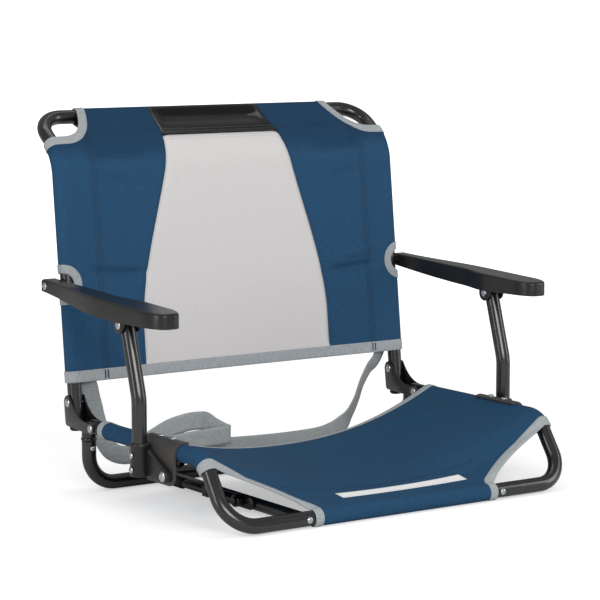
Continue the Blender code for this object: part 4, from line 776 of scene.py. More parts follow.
SIDE_TURN = wrap_turn(SEAM_INBOARD, SLEEVE_R - LAYER_GAP)
SIDE_WRAP = SLEEVE_R * (SIDE_TURN + math.pi / 2)
SIDE_LEAVE = Vector((HALF + SLEEVE_R * math.cos(SIDE_TURN), SLEEVE_R * math.sin(SIDE_TURN)))
SIDE_FLAT = math.hypot(SEAM_INBOARD + SLEEVE_R * math.cos(SIDE_TURN),
                       SLEEVE_R - LAYER_GAP + SLEEVE_R * math.sin(SIDE_TURN))
BACK_END = HALF + SIDE_WRAP + SIDE_FLAT
TOP_MIDDLE, TOP_UP, TOP_BACK = back_axis(TOP_END)
seam_drop = back_point(HALF, TOP_SEAM, REAR_LAYER) - TOP_MIDDLE
TOP_TURN = wrap_turn(-seam_drop.dot(TOP_UP), -seam_drop.dot(TOP_BACK))
TOP_WRAP = SLEEVE_R * (TOP_TURN + math.pi / 2)
TOP_LEAVE = TOP_MIDDLE + SLEEVE_R * (math.sin(TOP_TURN) * TOP_BACK + math.cos(TOP_TURN) * TOP_UP)
TOP_FLAT = (back_point(0, TOP_SEAM, REAR_LAYER) - TOP_LEAVE).length
OVER_BAR = TOP_WRAP + TOP_FLAT


def back_place(a, b):
    """Where a flat point of the back ends up: on its front, round the top bar or round an upright."""
    side = -1 if a < 0 else 1
    if b > TOP_END + TOP_WRAP:
        seam = back_point(a, TOP_SEAM, REAR_LAYER)
        return Vector((a, TOP_LEAVE.y, TOP_LEAVE.z)).lerp(seam, (b - TOP_END - TOP_WRAP) / TOP_FLAT)
    if b > TOP_END:
        angle = math.pi - (b - TOP_END) / SLEEVE_R
        point = TOP_MIDDLE + SLEEVE_R * (math.cos(angle) * TOP_BACK + math.sin(angle) * TOP_UP)
        return Vector((a, point.y, point.z))
    if abs(a) <= HALF:
        return back_point(a, b)
    place, _, back = back_axis(b)
    angle = min((abs(a) - HALF) / SLEEVE_R - math.pi / 2, SIDE_TURN)
    point = place + back * SLEEVE_R * math.sin(angle)
    point.x = side * (HALF + SLEEVE_R * math.cos(angle))
    if abs(a) - HALF > SIDE_WRAP:
        seam = back_point(side * SEAM_X, b, REAR_LAYER)
        point = point.lerp(seam, (abs(a) - HALF - SIDE_WRAP) / SIDE_FLAT)
    return point


print("side sleeve wraps", round(SIDE_WRAP + SIDE_FLAT, 4), "top sleeve wraps", round(OVER_BAR, 4))

# %% [markdown]
# A half-moon in a sleeve and a cross in a screw are cut with the Boolean modifier: a cutter of the hole's shape is
# taken away from the piece. The faces could be cut by hand, but the modifier gives a clean edge on any curve. What it
# makes is kept as the piece's own mesh, and the cutter is deleted.


# %% Helpers: cut-outs
def apply_modifiers(piece):
    """Keeps what the modifiers make as the piece's own mesh."""
    graph = bpy.context.evaluated_depsgraph_get()
    piece.data = bpy.data.meshes.new_from_object(piece.evaluated_get(graph))
    piece.modifiers.clear()


def cut_out(piece, meshes):
    """Cuts the shapes of some meshes out of a piece."""
    cutters = [add_object("cutter", mesh) for mesh in meshes]
    for cutter in cutters:
        piece.modifiers.new("cut", "BOOLEAN").object = cutter
    apply_modifiers(piece)
    for cutter in cutters:
        bpy.data.objects.remove(cutter)


# %% [markdown]
# Each side panel is one cloth: its outer edge is folded round the upright into a sleeve, and its top is folded over
# the top bar. Between the two sleeves its corner is cut away in a curve. A half-moon in the sleeve lets the arm's
# bolt through. The grid could follow its curve, but that would bend the weave, so it is cut out afterwards.

# %% Back side panels
ARM_RISE = 0.180 / math.cos(RECLINE)
HALF_MOON_R, HALF_MOON_X = 0.016, HALF + 0.011
PANEL_ROWS, PANEL_COLUMNS = 161, 27
outer_places = spread(TOP_SLEEVE_HALF, HALF, 21)[1:] + spread(HALF, HALF + SIDE_WRAP, 21)[1:]
outer_places += spread(HALF + SIDE_WRAP, BACK_END, 9)[1:]
rows_over_bar = [TOP_END + b for b in spread(0, TOP_WRAP, 19)[1:] + spread(TOP_WRAP, OVER_BAR, 9)[1:]]


def corner_b(a):
    """Where the panel's upper edge lies between the top sleeve and the side sleeve."""
    edge = min(max((abs(a) - TOP_SLEEVE_HALF) / (HALF - TOP_SLEEVE_HALF), 0.0), 1.0)
    return SIDE_SLEEVE_TOP + (TOP_END - SIDE_SLEEVE_TOP) * (1 - edge) ** 4


def inner_row(side, b):
    """A panel's points from the mesh out to the end of the top sleeve."""
    inner = side * mesh_edge(side, min(b, TOP_END))
    return [back_place(side * (inner + (TOP_SLEEVE_HALF - inner) * k), b) for k in spread(0, 1, PANEL_COLUMNS)]


panels = {}
for side, word in SIDES:
    points = []
    for t in spread(0, 1, PANEL_ROWS):
        row = inner_row(side, HEM_RISE + (TOP_END - HEM_RISE) * t)
        points.append(row + [back_place(side * a, HEM_RISE + (corner_b(a) - HEM_RISE) * t) for a in outer_places])
    points += [inner_row(side, b) + points[PANEL_ROWS - 1][PANEL_COLUMNS:] for b in rows_over_bar]
    gone = {(row, column) for row in range(PANEL_ROWS - 1, len(points))
            for column in range(PANEL_COLUMNS - 1, len(points[0]))}
    bm = grid_sheet(points, gone)
    if side > 0:
        bmesh.ops.reverse_faces(bm, faces=bm.faces)
    panel = stand_in(f"back_panel_{word}", "woven", bm, "navy_polyester_back_painted_shade", "back", 80)
    panels[word] = panel, thicken(panel, CLOTH)
    place, _, back = back_axis(ARM_RISE)
    turn = back.to_track_quat("Z", "X").to_matrix().to_4x4()
    spot = Matrix.Translation((side * HALF_MOON_X, place.y, place.z)) @ turn
    bm = bmesh.new()
    bmesh.ops.create_cone(bm, cap_ends=True, segments=64, radius1=HALF_MOON_R, radius2=HALF_MOON_R, depth=0.06,
                          matrix=spot)
    cut_out(panel, [to_mesh(bm, "half_moon")])
print("side panels", {word: round(area, 4) for word, (_, area) in panels.items()})

# %% [markdown]
# The pale mesh is one sheet between the panels. Its sides lap behind them, as a seam needs, so that no light shows
# through. The black pocket holds the top bar above it. The knit's holes could be cut, but they are smaller than a
# pixel, so the finish draws them.

# %% Back mesh and top pocket
MESH_LAP = 0.009
POCKET_LAP = 0.0002


def mesh_point(k, rise):
    """A point on the mesh, k of the way across. Its sides lap behind the panels, above the hem."""
    start, end = mesh_edge(-1, rise), mesh_edge(1, rise)
    x = start - MESH_LAP + (end - start + 2 * MESH_LAP) * k
    inside = min(x - start, end - x)
    behind = LAYER_GAP * ease(1 - inside / 0.006) * ease((rise - HEM_RISE - 0.012) / 0.012)
    return back_point(x, rise, behind - SLEEVE_R)


across_mesh = spread(0, 0.06, 14) + spread(0.06, 0.94, 45)[1:-1] + spread(0.94, 1, 14)
points = [[mesh_point(k, b) for k in across_mesh] for b in spread(HEM_RISE, TOP_SEAM + POCKET_LAP, 81)]
back_mesh = stand_in("back_mesh", "knit", grid_sheet(points), "pale_mesh", "back", 80)
mesh_flat = thicken(back_mesh, CLOTH)
points = []
for b in spread(TOP_SEAM - POCKET_LAP, TOP_END, 17) + rows_over_bar:
    start, end = (mesh_edge(side, min(b, TOP_END)) + side * POCKET_LAP for side in (-1, 1))
    points.append([back_place(a, b) for a in spread(start, end, 41)])
top_pocket = make_piece("top_pocket_coated", grid_sheet(points), "coated_black", "back", "back_top_pocket", 80)
pocket_area = thicken(top_pocket, CLOTH)
print("mesh", round(mesh_flat, 4), "top pocket", round(pocket_area, 4))

# %% [markdown]
# The carry strap is 25 mm webbing, sewn behind both sleeves. It hangs behind the seat with its slack folded over
# twice. A cloth simulation could drop it, but it would not fall into the same folds, so its route is given as points
# with a smooth line through them.

# %% The strap's route
STRAP_WIDTH, WEBBING = 0.025, 0.0014
STRAP_SEWN_X, STRAP_SEWN_LOW, STRAP_SEWN_HIGH = 0.243, 0.060, 0.080
STRAP_ROUTE = [
    (-0.237, 0.010, 0.128), (-0.229, 0.014, 0.107), (-0.220, 0.018, 0.080), (-0.211, 0.020, 0.056),
    (-0.200, 0.019, 0.040), (-0.186, 0.016, 0.033), (-0.172, 0.010, 0.034), (-0.156, 0.003, 0.046),
    (-0.138, -0.003, 0.058), (-0.120, -0.007, 0.067), (-0.096, -0.009, 0.072), (-0.076, -0.008, 0.072),
    (-0.063, -0.003, 0.069), (-0.050, 0.000, 0.060), (-0.036, -0.003, 0.052), (-0.030, -0.011, 0.049),
    (-0.040, -0.019, 0.050), (-0.084, -0.020, 0.049), (-0.112, -0.018, 0.047), (-0.123, -0.010, 0.043),
    (-0.114, 0.004, 0.038), (-0.080, 0.011, 0.033), (-0.030, 0.013, 0.028), (0.033, 0.014, 0.025),
    (0.098, 0.016, 0.024), (0.145, 0.018, 0.026), (0.178, 0.020, 0.036), (0.195, 0.021, 0.052),
    (0.206, 0.020, 0.072), (0.211, 0.016, 0.092), (0.221, 0.013, 0.113), (0.233, 0.010, 0.128)]


def sleeve_slope(x):
    """Where the sleeve's rear layer leaves the upright on the side of x, and the way to its seam, across and behind."""
    side = math.copysign(1, x)
    leave = Vector((side * SIDE_LEAVE.x, SIDE_LEAVE.y))
    return leave, (Vector((side * SEAM_X, REAR_LAYER)) - leave).normalized()


def strap_seat(x, rise):
    """A place on the back of the sleeve where the strap's end is sewn."""
    leave, slope = sleeve_slope(x)
    clear = (CLOTH + WEBBING) / 2 + 0.0006
    place, _, back = back_axis(rise)
    point = place + back * (leave.y + slope.y / slope.x * (x - leave.x) + clear / abs(slope.x))
    point.x = x
    return point


def smooth_line(points, pieces):
    """A smooth line through points, as a draughtsman's spline gives."""
    ends = [2 * points[0] - points[1]] + points + [2 * points[-1] - points[-2]]
    line = []
    for a, b, c, d in zip(ends, ends[1:], ends[2:], ends[3:]):
        for t in (step / pieces for step in range(pieces)):
            line.append(0.5 * (2 * b + (c - a) * t + (2 * a - 5 * b + 4 * c - d) * t**2
                               + (3 * b - a - 3 * c + d) * t**3))
    return line + [points[-1]]


route = [strap_seat(-STRAP_SEWN_X, rise) for rise in (STRAP_SEWN_HIGH, STRAP_SEWN_LOW)]
route += [Vector((x, FOOT_Y + y, z)) for x, y, z in STRAP_ROUTE]
route += [strap_seat(STRAP_SEWN_X - 0.001, STRAP_SEWN_LOW), strap_seat(STRAP_SEWN_X, STRAP_SEWN_HIGH)]
line = smooth_line(route, 6)

# %% [markdown]
# The strap itself is a ribbon along that line. A curve with a bevel would twist at the folds, so each row of the
# ribbon is turned to hang as webbing does, and at its ends it lies on the sleeve.

# %% Carry strap
points, last_across = [], None
for index, place in enumerate(line):
    along = line[min(index + 3, len(line) - 1)] - line[max(index - 3, 0)]
    facing = Vector((along.y, -along.x, 0)).normalized()
    toward = -1 if facing.y < 0 else 1
    hang = Vector((0, 1, 0)) if place.x < 0 else Vector((-0.60, 0.80, 0))
    facing = facing.lerp(hang * toward, ease((abs(along.z) / along.length - 0.45) / 0.4))
    _, slope = sleeve_slope(place.x)
    sewn = Vector((-slope.y, slope.x, 0)) * math.copysign(1, slope.x) * toward
    facing = facing.lerp(sewn, ease((place.z - 0.115) / 0.025))
    crossways = along.cross(facing).normalized()
    if last_across is not None and crossways.dot(last_across) < 0:
        crossways = -crossways
    last_across = crossways
    points.append([place + crossways * STRAP_WIDTH * k for k in spread(-0.5, 0.5, 7)])
strap = stand_in("carry_strap", "webbing", grid_sheet(points), "grey_webbing", "back", 80)
thicken(strap, WEBBING)
strap_seat(0.243, 0.060)
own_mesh(strap)
print("strap drawn with", len(points), "rows")

# %% [markdown]
# Screw heads, rivets and cups are turned, as on a lathe: half a section is drawn and spun round. Ready-made cylinders
# could be stacked instead, but a section gives collars and chamfers in one go.


# %% Helpers: turned pieces
def turned(section, sides=28):
    """A mesh turned about Z from a half section of radius and height."""
    bm = bmesh.new()
    verts = [bm.verts.new((radius, 0, height)) for radius, height in section]
    edges = [bm.edges.new(pair) for pair in zip(verts, verts[1:])]
    bmesh.ops.spin(bm, geom=verts + edges, cent=(0, 0, 0), axis=(0, 0, 1), angle=math.tau, steps=sides, use_merge=True)
    bmesh.ops.remove_doubles(bm, verts=bm.verts, dist=1e-6)
    bmesh.ops.recalc_face_normals(bm, faces=bm.faces)
    return to_mesh(bm, "turned")


def aim(place, way):
    """The frame of a piece whose top points one way."""
    return Matrix.Translation(place) @ Vector(way).to_track_quat("Z", "Y").to_matrix().to_4x4()


def put(bm, mesh, place):
    """Adds a copy of a mesh at a place."""
    copy = mesh.copy()
    copy.transform(place)
    bm.from_mesh(copy)
    bpy.data.meshes.remove(copy)


# %% [markdown]
# Plates with round corners are drawn as circles with a skin stretched round them, as a string round pins gives, and
# their rims are softened. Each outline could be drawn as a curve, but here only the places of the round lobes are
# needed.


# %% Helpers: plates
def dish_edge(bm, verts, lobes, depth):
    """Draws the longest side of a plate inwards in a shallow arc."""
    edges = sorted(edges_at(verts), key=lambda edge: edge.calc_length())[-2:]
    start, end = (vert.co.copy() for vert in edges[0].verts)
    middle = sum((Vector((0, y, z)) for y, z, _ in lobes), Vector()) / len(lobes)
    inward = middle - (start + end) / 2
    inward.x = 0
    inward -= inward.project(end - start)
    for vert in verts_in(bmesh.ops.subdivide_edges(bm, edges=edges, cuts=9)["geom_inner"]):
        t = (vert.co - start).dot(end - start) / (end - start).length_squared
        vert.co += inward.normalized() * depth * 4 * t * (1 - t)


def hull_plate(bm, lobes, near, thickness, rim=0.0005, dish=0.0):
    """A plate from an X place, with round lobes given as y, z and radius. Its longest side may be dished."""
    old = set(bm.verts)

    def new_verts():
        return [vert for vert in bm.verts if vert not in old]

    for x in sorted((near, near + thickness)):
        for y, z, radius in lobes:
            flat = Matrix.Translation((x, y, z)) @ Matrix.Rotation(math.pi / 2, 4, "Y")
            bmesh.ops.create_circle(bm, segments=48, radius=radius, matrix=flat)
    hull = bmesh.ops.convex_hull(bm, input=new_verts())
    inside = set(verts_in(hull["geom_interior"] + hull["geom_unused"]))
    bmesh.ops.delete(bm, geom=list(inside), context="VERTS")
    bmesh.ops.delete(bm, geom=[edge for edge in bm.edges if not edge.link_faces], context="EDGES")
    bmesh.ops.dissolve_limit(bm, angle_limit=0.01, verts=new_verts(), edges=edges_at(new_verts()))
    if dish:
        dish_edge(bm, new_verts(), lobes, dish)
    rims = [edge for edge in edges_at(new_verts()) if len(edge.link_faces) == 2 and edge.calc_face_angle() > 1.0]
    bmesh.ops.bevel(bm, geom=rims, offset=rim, segments=3, profile=0.5, affect="EDGES", material=-1)
    bmesh.ops.recalc_face_normals(bm, faces=bm.faces)


# %% [markdown]
# The arms are moulded like an upturned tray: a flat top with rounded edges and thin skirts, narrow at the back and
# broad at the rounded front. The outline could be traced point by point. A function that gives the section at each
# place along the arm keeps it smooth.

# %% The arm's outline
ARM_PIVOT = Vector((0, 0.15417, 0.268))
ARM_REAR, ARM_FRONT, ARM_NOSE = ARM_PIVOT.y + 0.009, POST_TOP.y - 0.103, 0.034
ARM_INNER, ARM_INNER_FRONT = 0.275, 0.266
ARM_OUTER, ARM_OUTER_FRONT = 0.296, 0.310
ARM_DEEPEST = 0.62


def arm_section(y):
    """The arm's inner and outer edge, top height and depth at a place along its length."""
    along = (ARM_REAR - y) / (ARM_REAR - ARM_FRONT)
    inner = ARM_INNER + (ARM_INNER_FRONT - ARM_INNER) * ease((along - 0.52) / 0.2)
    outer = ARM_OUTER + (ARM_OUTER_FRONT - ARM_OUTER) * ease((along - 0.05) / 0.5)
    top = ARM_PIVOT.z + 0.009 - 0.013 * along
    if along < ARM_DEEPEST:
        depth = 0.016 + 0.008 * math.sin(math.pi * along / ARM_DEEPEST / 2)
    else:
        depth = 0.024 - 0.005 * ease((along - ARM_DEEPEST) / (1 - ARM_DEEPEST))
    left = y - ARM_FRONT
    if left < ARM_NOSE:
        keep = 1 - 0.80 * (1 - math.sqrt(max(1 - (1 - left / ARM_NOSE) ** 2, 0.0)))
        middle = (inner + outer) / 2
        inner, outer = middle + (inner - middle) * keep, middle + (outer - middle) * keep
    return inner, outer, top, depth


print("arm is deep by", round(arm_section(POST_TOP.y)[3], 4), "at its post")

# %% [markdown]
# A grid takes the arm's plan, its rim is pulled down for the skirts, and the top edge is bevelled round. A block
# could be hollowed out instead, but a thin wall comes easily from a sheet with thickness. Two ears hold the post's
# pin, and a boss inside takes the bolt.

# %% Arms
ARM_WALL, ARM_EDGE_R = 0.003, 0.0036
EAR_R, EAR_GAP, EAR_WALL = 0.011, 0.0101, 0.003
arm_stations = spread(ARM_REAR, ARM_FRONT + ARM_NOSE, 33)
arm_stations += [ARM_FRONT + ARM_NOSE * (1 - math.sin(math.pi / 2 * t)) for t in spread(0, 1, 15)[1:]]
ear_root = arm_section(POST_TOP.y)[2] - 0.004
ear_lobes = [(POST_TOP.y, POST_TOP.z, EAR_R), (POST_TOP.y - 0.008, ear_root, 0.002),
             (POST_TOP.y + 0.008, ear_root, 0.002)]
boss_in, boss_out = arm_section(ARM_PIVOT.y)[:2]
boss_length = boss_out - boss_in - 0.002
boss = turned([(0.0033, 0), (0.0056, 0), (0.0062, 0.0006), (0.0062, boss_length), (0.0033, boss_length), (0.0033, 0)])
for side, word in SIDES:
    points = []
    for y in arm_stations:
        inner, outer, top, _ = arm_section(y)
        points.append([(side * (inner + (outer - inner) * k), y, top) for k in spread(0, 1, 7)])
    bm = grid_sheet(points)
    bmesh.ops.dissolve_faces(bm, faces=bm.faces[:])
    rim = [edge for edge in bm.edges if edge.is_boundary]
    for vert in verts_in(bmesh.ops.extrude_edge_only(bm, edges=rim)["geom"]):
        vert.co.z -= arm_section(vert.co.y)[3]
    bmesh.ops.recalc_face_normals(bm, faces=bm.faces)
    bmesh.ops.bevel(bm, geom=rim, offset=ARM_EDGE_R, segments=6, profile=0.5, affect="EDGES", material=-1)
    bmesh.ops.inset_individual(bm, faces=[max(bm.faces, key=lambda face: face.calc_area())], thickness=0.0006)
    arm = stand_in(f"arm_{word}", "moulded", bm, "polypropylene_arm", f"arm_{word}", 50)
    thicken(arm, ARM_WALL, -1.0)
    apply_modifiers(arm)
    bm = bmesh.new()
    bm.from_mesh(arm.data)
    for way in (-1, 1):
        hull_plate(bm, ear_lobes, side * POST_X + way * EAR_GAP, way * EAR_WALL)
    put(bm, boss, aim((side * (boss_in + 0.001), ARM_PIVOT.y, ARM_PIVOT.z + 0.0015), (side, 0, 0)))
    bm.to_mesh(arm.data)
    bm.free()
    arm.data.set_sharp_from_angle(angle=math.radians(50))
print("arms reach from y", round(ARM_REAR, 4), "to", round(ARM_FRONT, 4))

# %% [markdown]
# Rear elbows join each rail to its leg. They are moulded in bright ABS, with a collar where each tube begins. An
# elbow is a short bent tube, so the tube helper makes it, collars and all. Each upright's open foot is closed by a
# rubber plug, which is turned.

# %% Rear connectors and plugs
ELBOW_Y, ELBOW_Z, ELBOW_BEND_R = HINGE_Y - 0.018, RAIL_Z - 0.020, 0.012
COLLAR_R, COLLAR_LENGTH, COLLAR_RIM = 0.0105, 0.0042, 0.0009
plug = turned([(0, 0.012), (0.0073, 0.012), (0.0073, -0.0003), (TUBE_R, -0.0003), (TUBE_R, -0.0024),
               (0.0088, -0.0042), (0.0070, -0.0054), (0.0040, -0.006), (0, -0.006)])
for side, word in SIDES:
    x = side * HALF
    bm = bmesh.new()
    bend_tube(bm, [(x, ELBOW_Y, RAIL_Z), (x, REAR_Y, RAIL_Z), (x, REAR_Y, ELBOW_Z)], [ELBOW_BEND_R], TUBE_R, steps=16)
    bend_tube(bm, [(x, ELBOW_Y, RAIL_Z), (x, ELBOW_Y + COLLAR_LENGTH, RAIL_Z)], [], COLLAR_R, rim=COLLAR_RIM)
    bend_tube(bm, [(x, REAR_Y, ELBOW_Z), (x, REAR_Y, ELBOW_Z + COLLAR_LENGTH)], [], COLLAR_R, rim=COLLAR_RIM)
    stand_in(f"rear_connector_{word}", "abs", bm, "abs_gloss_black", "seat", 50)
    bm = bmesh.new()
    put(bm, plug, aim((x, foot_place.y, foot_place.z), low_up))
    stand_in(f"upright_plug_{word}", "rubber", bm, "rubber_black", "back", 40)
print("rear connectors and plugs made")

# %% [markdown]
# The hinge plates are stamped steel: three round lobes, with the long side dished so that it clears the rail. They
# could be cut from a sheet. A skin round three circles gives the same outline in one step.

# %% Hinge plates
PLATE, PLATE_GAP, PLATE_DISH = 0.002, 0.0003, 0.011
rivet = back_axis(0.026)[0]
lobes = [(HINGE_Y, RAIL_Z, 0.0082), (rivet.y, rivet.z, 0.010), (FOOT_Y + TUBE_R - 0.005, RAIL_Z, 0.005)]
for side, word in SIDES:
    for way, where in ((side, "outer"), (-side, "inner")):
        bm = bmesh.new()
        hull_plate(bm, lobes, side * HALF + way * (TUBE_R + PLATE_GAP), way * PLATE, dish=PLATE_DISH)
        stand_in(f"hinge_plate_{word}_{where}", "stamped", bm, "powder_coat_black", "back", 40)
print("hinge plates made")

# %% [markdown]
# Each post stands in a moulded cup with a fin that reaches forward to the pivot bolt. It could be sculpted as one
# block, but two plain shapes are easier to size: the cup is turned with a collar round its mouth, and the fin is a
# plate with soft edges that runs into it. A turned spacer keeps each arm off its upright.


# %% Post sockets and spacers
def turned_ring(bore, radius, chamfer, low, high):
    """A turned ring with a bore and chamfered rims."""
    return turned([(bore, low), (radius - chamfer, low), (radius, low + chamfer), (radius, high - chamfer),
                   (radius - chamfer, high), (bore, high), (bore, low)])


SADDLE_OUT = HALF + 0.01465
FIN_IN, FIN_WALL = SADDLE_OUT + 0.0006, 0.009
CUP_Z = 0.053
cup = turned([(0.0098, 0.030), (0.0098, 0.042), (0.0120, 0.042), (0.0127, 0.0412), (0.0127, 0.0385), (0.0120, 0.0372),
              (0.0120, 0.0016), (0.0112, 0.0004), (0.0100, 0), (0, 0)], 36)
fin_lobes = [(POST_PIVOT.y, POST_PIVOT.z, 0.0085), (POST_Y, 0.058, 0.004), (POST_Y, 0.087, 0.004)]
spacer = turned_ring(0.0035, 0.0062, 0.0004, 0, ARM_INNER - HALF - TUBE_R - 0.0006)
for side, word in SIDES:
    bm = bmesh.new()
    put(bm, cup, Matrix.Translation((side * POST_X, POST_Y, CUP_Z)))
    hull_plate(bm, fin_lobes, side * FIN_IN, side * FIN_WALL, rim=0.0014)
    stand_in(f"post_socket_{word}", "nylon", bm, "nylon_satin_black", f"post_{word}", 45)
    bm = bmesh.new()
    put(bm, spacer, aim((side * (HALF + TUBE_R + 0.0003), ARM_PIVOT.y, ARM_PIVOT.z), (side, 0, 0)))
    stand_in(f"arm_spacer_{word}", "abs", bm, "abs_gloss_black", f"arm_{word}", 40)
print("post sockets and spacers made")

# %% [markdown]
# A saddle is clamped over each rail and its cloth, and its outer side hangs down as a plate for the pivot bolt. It is
# a bent sheet with a wall of 3.2 mm, so it is drawn as a grid and thickened, and its edges are rounded.

# %% Saddles
SADDLE_FRONT, SADDLE_REAR = POST_PIVOT.y - 0.012, POST_PIVOT.y + 0.066
SADDLE_WALL = 0.0032
SADDLE_R = 0.01145 + SADDLE_WALL / 2
SADDLE_NOSE_R = 0.013
LOW_FROM, LOW_TO = SADDLE_FRONT + SADDLE_NOSE_R, SADDLE_REAR - 0.019
SADDLE_WRAP = math.radians(122)


def saddle_low(y):
    """How low the saddle's outer plate hangs at a place along the rail."""
    ahead, behind = LOW_FROM - y, y - LOW_TO
    if ahead > 0:
        return POST_PIVOT.z - math.sqrt(max(SADDLE_NOSE_R**2 - ahead**2, 0))
    if behind > SADDLE_NOSE_R:
        return POST_PIVOT.z + 4.0 * (behind - SADDLE_NOSE_R)
    return POST_PIVOT.z - math.sqrt(SADDLE_NOSE_R**2 - max(behind, 0) ** 2)


saddle_rows = [SADDLE_FRONT + SADDLE_NOSE_R * t**2 for t in spread(0, 1, 9)] + spread(LOW_FROM, LOW_TO, 13)[1:]
saddle_rows += spread(LOW_TO, SADDLE_REAR - 0.006, 9)[1:] + spread(SADDLE_REAR - 0.006, SADDLE_REAR, 4)[1:]
for side, word in SIDES:
    points = []
    for y in saddle_rows:
        row = [(side * (HALF + SADDLE_R * math.cos(t)), y, RAIL_Z + SADDLE_R * math.sin(t))
               for t in spread(SADDLE_WRAP, 0, 21)]
        points.append(row + [(side * (HALF + SADDLE_R), y, z) for z in spread(RAIL_Z, saddle_low(y), 9)[1:]])
    bm = grid_sheet(points)
    bmesh.ops.recalc_face_normals(bm, faces=bm.faces)
    saddle = stand_in(f"saddle_{word}", "nylon", bm, "nylon_warm_grey", "seat", 45)
    thicken(saddle, SADDLE_WALL)
    soft = saddle.modifiers.new("edges", "BEVEL")
    soft.width, soft.segments, soft.limit_method, soft.angle_limit = 0.0009, 3, "ANGLE", math.radians(50)
print("saddles made")

# %% [markdown]
# The bench hooks are bent from 10 mm rod, with a rubber sleeve on the curl and a flat eye at the pivot. The tube
# helper bends both. The bracket could be drawn again, but its own solid has the right shape, so it is copied, its
# loose triangles are merged into clean faces, and its edges are softened.

# %% Bench hooks
HOOK_X, HOOK_Y, HOOK_Z = 0.1683, -0.109003, 0.014
HOOK_CORNER = HOOK_Y + 0.150
HOOK_BEND_R, HOOK_R, TIP_R = 0.013, 0.005, 0.0073
CURL_Y, CURL_Z = HOOK_CORNER + HOOK_BEND_R, HOOK_Z + 2 * HOOK_BEND_R
eye = turned_ring(0.0033, 0.0080, 0.0006, -0.005, 0.005)
for side, word in SIDES:
    x = side * HOOK_X
    curl = [(x, CURL_Y, HOOK_Z), (x, CURL_Y, CURL_Z)]
    bm = bmesh.new()
    bend_tube(bm, [(x, HOOK_Y + 0.004, HOOK_Z)] + curl + [(x, HOOK_CORNER - 0.018, CURL_Z)],
              [HOOK_BEND_R, HOOK_BEND_R], HOOK_R, sides=20)
    put(bm, eye, aim((x, HOOK_Y, HOOK_Z), (1, 0, 0)))
    stand_in(f"bench_hook_{word}", "rod", bm, "powder_coat_black", f"hook_{word}", 45)
    bm = bmesh.new()
    bend_tube(bm, [(x, HOOK_CORNER - 0.022, HOOK_Z)] + curl + [(x, HOOK_CORNER - 0.0135, CURL_Z)],
              [HOOK_BEND_R, HOOK_BEND_R], TIP_R, sides=24, rim=0.0012)
    stand_in(f"hook_tip_{word}", "rubber", bm, "rubber_black", f"hook_{word}", 45)
    bm = bmesh.new()
    bm.from_mesh(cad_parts[f"hook_bracket_{word}"].data)
    bmesh.ops.remove_doubles(bm, verts=bm.verts, dist=1e-6)
    bmesh.ops.dissolve_limit(bm, angle_limit=0.02, verts=bm.verts, edges=bm.edges)
    sharp = [edge for edge in bm.edges if len(edge.link_faces) == 2 and edge.calc_face_angle() > 0.9]
    bmesh.ops.bevel(bm, geom=sharp, offset=0.0003, segments=2, profile=0.5, affect="EDGES", material=-1,
                    clamp_overlap=True)
    stand_in(f"hook_bracket_{word}", "pressed", bm, "powder_coat_black", "seat", 40)
print("bench hooks made")

# %% [markdown]
# The screws have pan heads with a cross recess, cut here by two bars. Rivets and pins have low domes with the small
# dimple that the rivet tool leaves. A bump in the finish could draw these, but it would look flat from near by.


# %% Helpers: heads of screws and rivets
def pan_head(radius, head, shank, length):
    """A turned screw with a cross recess in its head."""
    outline = [(0, 1), (0.40, 0.98), (0.70, 0.82), (0.92, 0.50), (1, 0.18), (1, 0)]
    section = [(radius * r, head * h) for r, h in outline] + [(shank, 0), (shank, -length), (0, -length)]
    screw = add_object("screw", turned(section))
    bars = []
    for turn in (0, math.pi / 2):
        bm = bmesh.new()
        size = Matrix.Diagonal((radius * 1.10, radius * 0.26, head, 1))
        spot = Matrix.Translation((0, 0, head)) @ Matrix.Rotation(turn, 4, "Z")
        bmesh.ops.create_cube(bm, size=1, matrix=spot @ size)
        bars.append(to_mesh(bm, "bar"))
    cut_out(screw, bars)
    mesh = screw.data
    bpy.data.objects.remove(screw)
    return mesh


def rivet_head(radius, head, shank, grip):
    """A turned rivet with a dome at both ends."""
    outline = [(0, 0.78), (0.16, 0.82), (0.26, 0.98), (0.60, 0.86), (0.88, 0.50), (1, 0.12), (1, 0)]
    dome = [(radius * r, head * h) for r, h in outline] + [(shank, 0)]
    return turned(dome + [(r, -grip - h) for r, h in reversed(dome)])


# %% [markdown]
# One mesh of each kind is made and copied to every place, so that all are alike. Each could be placed by a line of
# its own, but a table is easier to read: it holds the solid's name, the body, the mesh, the place and the way that
# the head looks, which is outwards where none is given.

